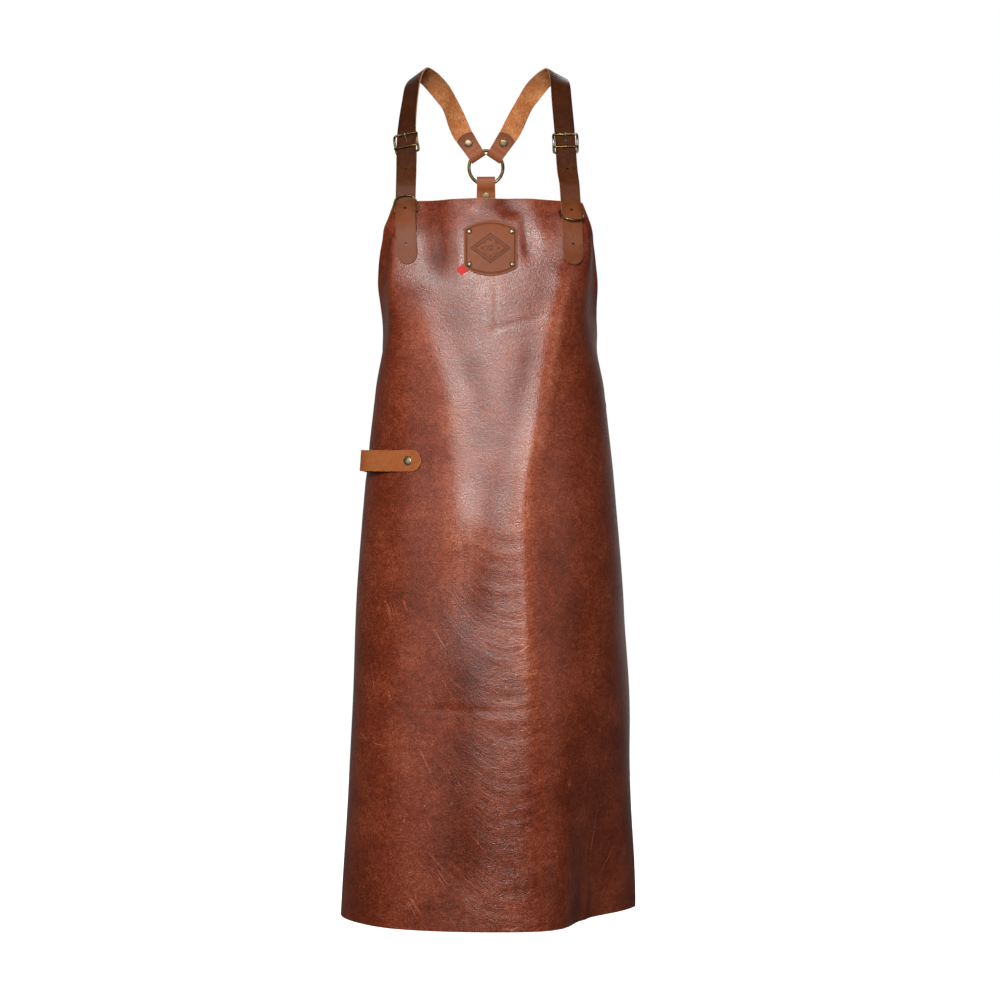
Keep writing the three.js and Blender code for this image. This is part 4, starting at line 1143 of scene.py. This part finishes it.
def prong_line():
    inner = BUCKLE_WIRE + GAP
    over = BAR_FRONT + BUCKLE_WIRE + PRONG_WIRE + GAP
    return [Vector((0, y, z)) for y, z in (
        (FOOT + 1.4, BAR_REAR + inner + 0.8), (FOOT + 7, BAR_REAR + 2.6), (-5, -2.6), (0, 1.4),
        (4, BAR_FRONT + 2.6), (BUCKLE_TOP, over), (BUCKLE_TOP + 2.2, BAR_FRONT + 2.9))]


def in_frame(points, f):
    return [f["p"] + f["wide"] * p.x + f["ahead"] * p.y + f["face"] * p.z for p in points]


print("buckle", BUCKLE_WIDTH, "by", BUCKLE_HEIGHT, "mm")

# %% Buckles and prongs
EYE_WIRE = 0.75
EYE_POINTS = 24
SAMPLES = {"loop": 96, "keeper": 40, "prong": 48}

FEET = {}
for word, (_, here, _) in RUNS.items():
    buckle = joined(
        wire_mesh(in_frame(sampled(buckle_loop(), SAMPLES["loop"], True), here), BUCKLE_WIRE, True),
        wire_mesh(in_frame(sampled(keeper_line(), SAMPLES["keeper"]), here), KEEPER_WIRE, False))
    finished("buckle_frame_wire_" + word, buckle, [BRASS], "buckle_frame_" + word)
    FEET[word] = in_frame([Vector((0, FOOT, BAR_REAR))], here)[0]
    eye = []
    for angle in (2 * math.pi * k / EYE_POINTS for k in range(EYE_POINTS)):
        way = here["ahead"] * math.cos(angle) + here["face"] * math.sin(angle)
        eye.append(FEET[word] + way * (BUCKLE_WIRE + GAP + EYE_WIRE))
    prong = joined(
        wire_mesh(in_frame(sampled(prong_line(), SAMPLES["prong"]), here), PRONG_WIRE, False),
        wire_mesh(eye, EYE_WIRE, True))
    finished("buckle_prong_wire_" + word, prong, [PALE_BRASS], "buckle_prong_" + word)
print(len(FEET), "buckles")

# %% [markdown]
# ## Shoulder straps and buckle straps
# The shoulder strap has a hole for the prong and three spare ones. Behind its tail a shorter strap is folded
# over the buckle's foot, slit for the prong, and riveted to the bib.

# %% Shoulder straps
HOLE_RADIUS = 1.9
HOLE_DROPS = (16, 66)
UPPER_HOLE_Z = -151
PRONG_HOLE = {"y": -1.8, "room": 0.9}
TAIL_FRONT = -90
BEHIND_Y = 60
# Painted light and shade on the straps: paler flap and tail, a darker run between them, darker edges.
STRAP_LIGHT_AND_SHADE = {"flap": 0.3, "flap_from": 40, "flap_over": 25, "tail": 0.25, "tail_from": -130, "tail_over": 90,
        "run": 0.16, "edge": 0.05}


def shoulder_light_and_shade(f, aside):
    """Painted light and shade: flap and tail painted paler, the run between darker, the edges a little
    darker.
    """
    far = (f["p"] - RING_CENTRE).length - STRAP_LIGHT_AND_SHADE["flap_from"]
    flap = clamp(1 - far / STRAP_LIGHT_AND_SHADE["flap_over"], 0, 1) * STRAP_LIGHT_AND_SHADE["flap"]
    tail = clamp((STRAP_LIGHT_AND_SHADE["tail_from"] - f["p"].z) / STRAP_LIGHT_AND_SHADE["tail_over"], 0, 1) * STRAP_LIGHT_AND_SHADE["tail"] - STRAP_LIGHT_AND_SHADE["run"]
    return (flap if f["p"].y > BEHIND_Y else tail) - STRAP_LIGHT_AND_SHADE["edge"] * (2 * abs(aside)) ** 4


def at_level(frames, front, z):
    """The point of the frames in front of a depth that is nearest to a level."""
    return min((f for f in frames if f["p"].y < front), key=lambda f: abs(f["p"].z - z))["p"]


for word, (frames, here, rivet_at) in RUNS.items():
    holes = [(in_frame([Vector((0, PRONG_HOLE["y"], 0))], here)[0], PRONG_WIRE + PRONG_HOLE["room"]),
             (at_level(frames, 0, UPPER_HOLE_Z), HOLE_RADIUS)]
    holes += [(at_level(frames, TAIL_FRONT, BIB_TOP - drop), HOLE_RADIUS) for drop in HOLE_DROPS]
    strap("shoulder_strap_leather_" + word, round_ends(frames, SHOULDER_FOLD["bow"]), STRAP_THICK,
          STRAP_FACES, "shoulder_strap_" + word, holes=holes, pull=shoulder_light_and_shade)
    fold_rivet("shoulder_rivet_" + word, rivet_at, -RING_OUT)

# %% Buckle straps
D_DROP = 16.5
D_WIRE = 1.35
UNDER_WIDTH = 25
UNDER_FLAP = 26
UNDER_STEPS = 4
UNDER_SLIT = 3.2
UNDER_FRONT = -60
UNDER_CLEAR = 10
UNDER_EVERY = 3
BAR_STOPS = [math.radians(degrees) for degrees in (180, 135, 90, 45, 0)]
BEHIND_TAIL = STRAP_THICK / 2 + 2 * GAP + UNDER_THICK / 2 + 0.6
ON_BIB = GAP + UNDER_THICK / 2
UNDER_ROUTE = table(
    "drop stand",
    (D_DROP, 2 * D_WIRE + 2 * GAP + UNDER_THICK / 2 + 0.2), (30, 2.2), (38, ON_BIB), (50, ON_BIB))
BIB_RIVET_DROP = 44

for side, word in SIDES:
    frames, here, _ = RUNS[word]
    over_bar = []
    for angle in BAR_STOPS:
        n = here["ahead"] * math.sin(angle) + here["face"] * math.cos(angle)
        over_bar.append((FEET[word] + n * (BUCKLE_WIRE + GAP + UNDER_THICK / 2), n))
    hanging = [(f["p"] - f["face"] * BEHIND_TAIL, f["face"]) for f in frames[::UNDER_EVERY]
               if f["p"].y < UNDER_FRONT and BIB_TOP - UNDER_CLEAR < f["p"].z < FEET[word].z - UNDER_CLEAR]
    under = [(over_bar[0][0] - here["ahead"] * UNDER_FLAP, over_bar[0][1]), *over_bar, *hanging]
    under += [laid(side * column(TAIL_ROUTE, word, row["drop"]), row["drop"], row["stand"])
              for row in UNDER_ROUTE]
    strap("buckle_strap_leather_" + word, route(under, UNDER_STEPS, UNDER_WIDTH), UNDER_THICK, STRAP_FACES,
          "buckle_strap_" + word, slits=[(over_bar[2][0], UNDER_SLIT)])
    bib_at = side * column(TAIL_ROUTE, word, BIB_RIVET_DROP)
    panel_rivet("bib_rivet_" + word, RIVET_BIB, bib_at, BIB_RIVET_DROP, UNDER_THICK, CURVE_ROOM)

# %% [markdown]
# ## D-rings
# A D-ring's straight side lies under each buckle strap, and its bow keeps the tail in place. The left one is
# turned up and the right one hangs down. They are the only pieces that swing, so each rides on its own body.

# %% D-rings
D_WIDTH = 36.9
D_REACH = 25
D_LIFT = 0.1
D_LEAN = {"left": math.radians(29), "right": math.radians(180 - 36)}


def d_outline():
    wide, far = D_WIDTH / 2 - D_WIRE, D_REACH - D_WIRE
    right = [(wide - 2, 0), (wide - 0.5, 0.5), (wide, 2), (wide, far * 0.42),
             (wide * 0.9, far * 0.7), (wide * 0.64, far * 0.9), (wide * 0.3, far * 0.985)]
    return [(0, 0), *right, (0, far), *[(-x, y) for x, y in right[::-1]]]


for side, word in SIDES:
    bar_at = side * column(TAIL_ROUTE, word, D_DROP)
    bar, bar_out = laid(bar_at, D_DROP, D_WIRE + GAP + D_LIFT)
    across = (on_panel(bar_at + 2, D_DROP, 0) - on_panel(bar_at - 2, D_DROP, 0)).normalized()
    up = bar_out.cross(across)
    up = up if up.z > 0 else -up
    swing = up * math.cos(D_LEAN[word]) + bar_out * math.sin(D_LEAN[word])
    bow = sampled([bar + across * x + swing * y for x, y in d_outline()], SAMPLES["loop"], True)
    finished("d_ring_wire_" + word, wire_mesh(bow, D_WIRE, True), [BRASS], "d_ring_" + word,
             "d_ring_" + word)
print("D-rings", D_WIDTH, "by", D_REACH, "mm")

# %% [markdown]
# ## The straps behind
# The back strap hangs from the ring and is folded round the waist strap. The waist strap is in two halves
# that lap in a plain sleeve. Only the top of the back strap shows from the front, so the rest is plain.

# %% Waist straps
WAIST_DROP = 290
WAIST_Z = BIB_TOP - WAIST_DROP
WAIST_SEATS = (20, 10, 0)
WAIST_STEPS = 5
WAIST_RIVET_IN = 14
STRAP_RISE = 4
EDGE_LIFT = 0.8
WAIST_LINE = [(-142, 96), (-104, 119), (-54, 131), (0, 134), (54, 131), (104, 119), (146, 96)]
LINE_POINTS = 60
LINE_EVERY = 4
NUDGE = 0.002
CLASP_X = 62
CLASP_EASE = 70
WAIST_END = 28
LAYER = (STRAP_THICK + GAP) / 2


def waist_stations(side):
    """From the panel's rear corner, round behind the body, to the end past the clasp."""
    edge = edge_at(side, WAIST_DROP)
    seated = [laid(side * (edge - back), WAIST_DROP, GAP + STRAP_THICK / 2 + (0 if back else EDGE_LIFT))
              for back in WAIST_SEATS]
    line = WAIST_LINE if side < 0 else WAIST_LINE[::-1]
    plan = [seated[2][0]] + [Vector((x, y, WAIST_Z + STRAP_RISE)) for x, y in line]
    stop = CLASP_X - side * WAIST_END
    free = []
    for share in (i / LINE_POINTS for i in range(1, LINE_POINTS + 1)):
        p = spline(plan, share)
        way = spline(plan, min(1, share + NUDGE)) - spline(plan, share - NUDGE)
        n = (Vector((-way.y, way.x, 0)) * -side).normalized()
        n = -n if n.y < 0 and p.y > BEHIND_Y else n
        near = clamp(1 - abs(p.x - CLASP_X) / CLASP_EASE, 0, 1)
        if side * (p.x - stop) > 0:
            free.append((p + n * (-side * LAYER * min(1, near * 2)), n))
    return seated + [s for i, s in enumerate(free) if i % LINE_EVERY == 1 or i == len(free) - 1]


for side, word in SIDES:
    frames = round_end(route(waist_stations(side), WAIST_STEPS, STRAP_WIDTH), True)
    strap("waist_strap_leather_" + word, frames, STRAP_THICK, STRAP_FACES, "waist_strap_" + word)
    panel_rivet("waist_rivet_" + word, RIVET_STRAP, side * (edge_at(side, WAIST_DROP) - WAIST_RIVET_IN),
                WAIST_DROP, STRAP_THICK, CURVE_ROOM / 2)

# %% Clasp
UP = Vector((0, 0, 1))
BACK = Vector((0, 1, 0))
CLASP_LENGTH = 18
CLASP_BEVEL = 0.6
CLASP_MOUTH = (STRAP_WIDTH + 1, 2 * STRAP_THICK + 1.3)
CLASP_SIZE = (STRAP_WIDTH + 7, 2 * STRAP_THICK + 5)
PLAN_POINTS = 400

plan = [Vector((x, y, 0)) for x, y in WAIST_LINE]
place = min((k / PLAN_POINTS for k in range(PLAN_POINTS + 1)), key=lambda t: abs(spline(plan, t).x - CLASP_X))
way = (spline(plan, place + NUDGE) - spline(plan, place - NUDGE)).normalized()
centre = spline(plan, place) + UP * (WAIST_Z + STRAP_RISE)
bm = bmesh.new()
bmesh.ops.create_cube(bm, size=1)
bmesh.ops.scale(bm, vec=(*CLASP_SIZE, CLASP_LENGTH), verts=bm.verts)
mouths = [f for f in bm.faces if abs(f.normal.z) > 0.9]
for mouth in mouths:
    bmesh.ops.inset_region(bm, faces=[mouth], thickness=1, use_even_offset=True)
    for vert in mouth.verts:
        vert.co.x = math.copysign(CLASP_MOUTH[0] / 2, vert.co.x)
        vert.co.y = math.copysign(CLASP_MOUTH[1] / 2, vert.co.y)
bmesh.ops.bridge_loops(bm, edges=[e for mouth in mouths for e in mouth.edges])
bmesh.ops.delete(bm, geom=mouths, context="FACES_ONLY")
rims = [e for e in bm.edges if e.is_manifold and e.calc_face_angle(0) > 1]
bmesh.ops.bevel(bm, geom=rims, offset=CLASP_BEVEL, offset_type="OFFSET", segments=2, profile=0.5,
                affect="EDGES", material=-1)
bmesh.ops.recalc_face_normals(bm, faces=bm.faces)
turn = Matrix((UP, way.cross(UP), way)).transposed().to_4x4()
bmesh.ops.transform(bm, matrix=Matrix.Scale(MM, 4) @ Matrix.Translation(centre) @ turn, verts=bm.verts)
finished("waist_clasp_sleeve", bm, [BRASS], "waist_clasp")
print("clasp", [round(v, 1) for v in CLASP_SIZE], "mm")

# %% Back strap
BACK_FOLD = {"width": 27.5, "slack": 3, "seat": 28.5, "flap": 1, "rest": 46}
WAIST_FOLD = {"fold": -(STRAP_WIDTH / 2 + GAP + STRAP_THICK / 2 + 0.6), "half": STRAP_THICK + GAP + 0.8,
              "straight": STRAP_WIDTH + 4, "seat": 50, "flap": 1, "rest": 66}
BACK_LINE = [(111, -225), (121, -310), (131, -385)]
BACK_LOOK = Vector((0, 1, 0.05))
WAIST_CENTRE = Vector((RING_CENTRE.x, 134.1, WAIST_Z + STRAP_RISE))

back_turn = ring_fold(BACK_FOLD)
stations = folded(RING_CENTRE, -RING_UP, RING_OUT, back_turn)
stations += [(Vector((RING_CENTRE.x, y, z)), BACK_LOOK) for y, z in BACK_LINE]
stations += folded(WAIST_CENTRE, UP, BACK, WAIST_FOLD)[::-1]
frames = draw_in(route(stations, STEPS, STRAP_WIDTH), BACK_FOLD["width"])
strap("back_strap_leather", round_ends(frames), STRAP_THICK, STRAP_FACES, "back_strap",
      pull=shoulder_light_and_shade)
fold_rivet("back_rivet_top", RING_CENTRE - RING_UP * (back_turn["fold"] + back_turn["seat"]), -RING_OUT)
fold_rivet("back_rivet_low", WAIST_CENTRE + UP * (WAIST_FOLD["fold"] + WAIST_FOLD["seat"]), BACK)

# %% [markdown]
# ## The towel loop
# A strip of paler leather stands off the hip between two rivets, so that a towel can hang behind it.

# %% Towel loop
TOWEL_DROP = 376
TOWEL_ROUTE = table(
    "along stand", (-113, 1.5), (-128, 1.6), (-148, 4.2), (-170, 9.5), (-190, 17), (-204, 18.5), (-214, 12),
    (-225, 4.4), (-238, 1.5), (-256, 1.5))
TOWEL_RIVETS = {"front": -119, "rear": -254}
TOWEL_LIFT = 0.1
TOWEL_PALE = 0.14
LOOP_WIDTH = 30.5

stations = [laid(row["along"], TOWEL_DROP, row["stand"]) for row in TOWEL_ROUTE]
strap("towel_loop_leather", round_ends(route(stations, STEPS, LOOP_WIDTH)), STRAP_THICK, TAN_FACES,
      "towel_loop", pull=lambda f, aside: TOWEL_PALE)
for word, along in TOWEL_RIVETS.items():
    panel_rivet("towel_rivet_" + word, RIVET_LOOP, along, TOWEL_DROP, STRAP_THICK, 2 * CURVE_ROOM, TOWEL_LIFT,
                NAIL_BRASS)

# %% [markdown]
# ## The badge
# A leather badge with bowed ends is nailed to the bib. A line is tooled along its edge, and a plain flower
# in two lozenges is stamped in the middle. The stamp is real relief: each point of a fine grid is pressed
# down by a height worked out from simple shapes.

# %% Stamp of the badge
PATCH_AT = {"along": 4, "drop": 73}
PATCH_WIDTH = 77
PATCH_SIDE = 55
PATCH_BOW = 12.5
PATCH_EASE = 2.6
TOOL_WIDTH = 0.9
FLOWER_WIDTH = 0.7
BORDER_INSET = 4
LOZENGES = ((27, 21), (22.5, 17))
PETALS = 8
PETAL_LENGTH = 12
PETAL_CORE = 2.6


def groove(distance, width=TOOL_WIDTH):
    """A soft-edged line: 1 on it, 0 away from it."""
    return math.exp(-((distance / width) ** 2))


def stamp(x, y, from_edge):
    """Depth of the tooling at a place on the badge, from 0 to 1."""
    deep = groove(from_edge - BORDER_INSET)
    for wide, tall in LOZENGES:
        deep = max(deep, groove((abs(x) / wide + abs(y) / tall - 1) * wide * tall / math.hypot(wide, tall)))
    reach = math.hypot(x, y)
    petal = PETAL_LENGTH * abs(math.cos(math.atan2(y, x) * PETALS / 2)) ** 0.7 + 0.5
    return max(deep, groove((reach - petal) * 0.55, FLOWER_WIDTH), groove(reach - PETAL_CORE, FLOWER_WIDTH))


def badge_place(x, y):
    """A grid point's place on the badge, and how far it lies from the badge's edge."""
    across = PATCH_WIDTH * math.sin(math.pi * x) / 2
    from_side = PATCH_WIDTH / 2 - abs(across)
    ease = PATCH_EASE * max(0, 1 - from_side / PATCH_EASE) ** 2
    tall = PATCH_SIDE / 2 + PATCH_BOW * (1 - (2 * across / PATCH_WIDTH) ** 2) - ease
    down = -2 * y * tall
    return across, down, min(from_side, tall - abs(down))


print("badge", PATCH_WIDTH, "by", PATCH_SIDE + 2 * PATCH_BOW, "mm")

# %% Badge
PATCH_THICK = 2.2
PATCH_CELLS = 104
PATCH_BEVEL = 0.35
PATCH_RIVET = {"across": 30.3, "down": 23.6}
PATCH_DARK = {"face": -0.06, "stamp": -0.25}
TOOL_DEPTH = 0.55

bm = bmesh.new()
bmesh.ops.create_grid(bm, x_segments=PATCH_CELLS, y_segments=PATCH_CELLS, size=0.5)
tone_and_shade_layer = bm.verts.layers.float.new("pull")
flat_of = {}
for vert in bm.verts:
    across, down, from_edge = badge_place(vert.co.x, vert.co.y)
    deep = stamp(across, down, from_edge)
    flat_of[vert] = (across, down)
    vert[tone_and_shade_layer] = PATCH_DARK["face"] + PATCH_DARK["stamp"] * deep
    stand = GAP + PATCH_THICK - TOOL_DEPTH * deep
    vert.co = on_panel(PATCH_AT["along"] + across, PATCH_AT["drop"] + down, stand) * MM
lay_flat(bm, flat_of)
badge = finished("badge_leather", bm, TAN_FACES, "patch")
thicken(badge, PATCH_THICK - TOOL_DEPTH, -1, PATCH_BEVEL)
corners = [(across, down) for down in (-1, 1) for across in (-1, 1)]
for count, (across, down) in enumerate(corners, 1):
    panel_rivet(f"patch_rivet_{count}", RIVET_PATCH, PATCH_AT["along"] + across * PATCH_RIVET["across"],
                PATCH_AT["drop"] + down * PATCH_RIVET["down"], PATCH_THICK, material=NAIL_BRASS)
print("badge held by", len(corners), "nails")

# %% Ribbon tab
TAB_WIDTH = 11.5
TAB_LENGTH = 11
TAB_TUCK = 5
TAB_TURN = 0.4
TAB_STEPS = 6
TAB_ANGLE = math.radians(35)
RIBBON_THICK = 0.5
TAB_ROOT = (PATCH_AT["along"] - PATCH_WIDTH / 2 + 2.5, PATCH_AT["drop"] + PATCH_SIDE / 2 + 0.5)
LOW_LAYER = GAP + RIBBON_THICK / 2
HIGH_LAYER = LOW_LAYER + RIBBON_THICK + 0.2


def on_tab(far, stand):
    along = TAB_ROOT[0] - math.cos(TAB_ANGLE) * far
    return on_panel(along, TAB_ROOT[1] + math.sin(TAB_ANGLE) * far, stand)


tab_out = panel_normal(*TAB_ROOT)
tab_way = (on_tab(TAB_LENGTH, 1) - on_tab(0, 1)).normalized()
stations = [
    (on_tab(-TAB_TUCK, LOW_LAYER), -tab_out),
    (on_tab(TAB_LENGTH - TAB_TURN, LOW_LAYER), -tab_out),
    (on_tab(TAB_LENGTH, (LOW_LAYER + HIGH_LAYER) / 2), tab_way),
    (on_tab(TAB_LENGTH - TAB_TURN, HIGH_LAYER), tab_out),
    (on_tab(-TAB_TUCK, HIGH_LAYER), tab_out),
]
strap("ribbon_tab", route(stations, TAB_STEPS, TAB_WIDTH), RIBBON_THICK, [RIBBON_RED] * 3, "patch_tab")

# %% [markdown]
# ## Floor and light
# The photograph has a plain white ground and one broad soft light above the camera. It lays a sheen on what
# faces it, the chest and the folds, and leaves the sides dark. A softbox above and behind the camera does
# that. Two weak ones fill the sides, two behind draw the skirt's edges, and one high behind lights the undyed
# backs of the straps. The floor and the surroundings are white to the camera but give little light, because
# white all round would wash the leather out.

# %% Floor
FLOOR_Z = -1500
FLOOR_SIZE = 9000

bm = bmesh.new()
bmesh.ops.create_grid(bm, x_segments=1, y_segments=1, size=FLOOR_SIZE * MM / 2)
bmesh.ops.translate(bm, vec=(0, 0, FLOOR_Z * MM), verts=bm.verts)
mesh = bpy.data.meshes.new("floor")
bm.to_mesh(mesh)
bm.free()
floor = show("floor", mesh)
# Matt paper that glows a little, so that it stays as white as the ground behind it.
material, tree = start("pale_studio_paper")
close(tree, Base_Color=linear("f4f4f4"), Roughness=0.9, Emission_Color=linear("ffffff"),
      Emission_Strength=0.9)
mesh.materials.append(material)
floor.visible_diffuse = False
floor.visible_glossy = False
print("floor at", FLOOR_Z, "mm")

# %% Lights
LIGHTS = table(
    "name at to size spread watts",
    ("key", (-420, -4400, 620), (30, -130, -440), (2000, 950), 52, 25),
    ("left side", (-2400, -2100, -100), (-120, -60, -500), (1600, 1600), 120, 6),
    ("right side", (2900, -1500, -300), (180, 0, -500), (1600, 1600), 120, 4),
    ("right edge", (1450, 3500, -600), (170, 0, -700), (1700, 1700), 180, 3.5),
    ("left edge", (-1450, 3500, -700), (-170, 0, -700), (1700, 1700), 180, 1.2),
    ("behind", (0, 3000, 2600), (0, 60, -500), (2000, 1500), 180, 110))
WARM = (1, 0.955, 0.92)

for row in LIGHTS:
    data = bpy.data.lights.new(row["name"], "AREA")
    data.shape = "RECTANGLE"
    data.size, data.size_y = (v * MM for v in row["size"])
    data.energy = row["watts"]
    data.color = WARM
    data.spread = math.radians(row["spread"])
    lamp = show(row["name"], data)
    lamp.location = Vector(row["at"]) * MM
    lamp.rotation_euler = (Vector(row["to"]) - Vector(row["at"])).to_track_quat("-Z", "Y").to_euler()
    lamp.visible_camera = False
print(len(LIGHTS), "softboxes")

# %% Surroundings
SURROUND = 0.06
WHITE = (1, 1, 1, 1)

world = bpy.data.worlds.new("studio")
world.use_nodes = True
tree = world.node_tree
tree.nodes.clear()
seen, given = (add(tree, "ShaderNodeBackground", {"Color": WHITE, "Strength": strength})
               for strength in (1, SURROUND))
camera_ray = add(tree, "ShaderNodeLightPath").outputs["Is Camera Ray"]
both = add(tree, "ShaderNodeMixShader", {"Fac": camera_ray, 1: given.outputs[0], 2: seen.outputs[0]})
add(tree, "ShaderNodeOutputWorld", {"Surface": both.outputs[0]})
bpy.context.scene.world = world
bpy.context.scene.view_settings.view_transform = "Standard"
print("surroundings give", SURROUND, "of what the camera sees")
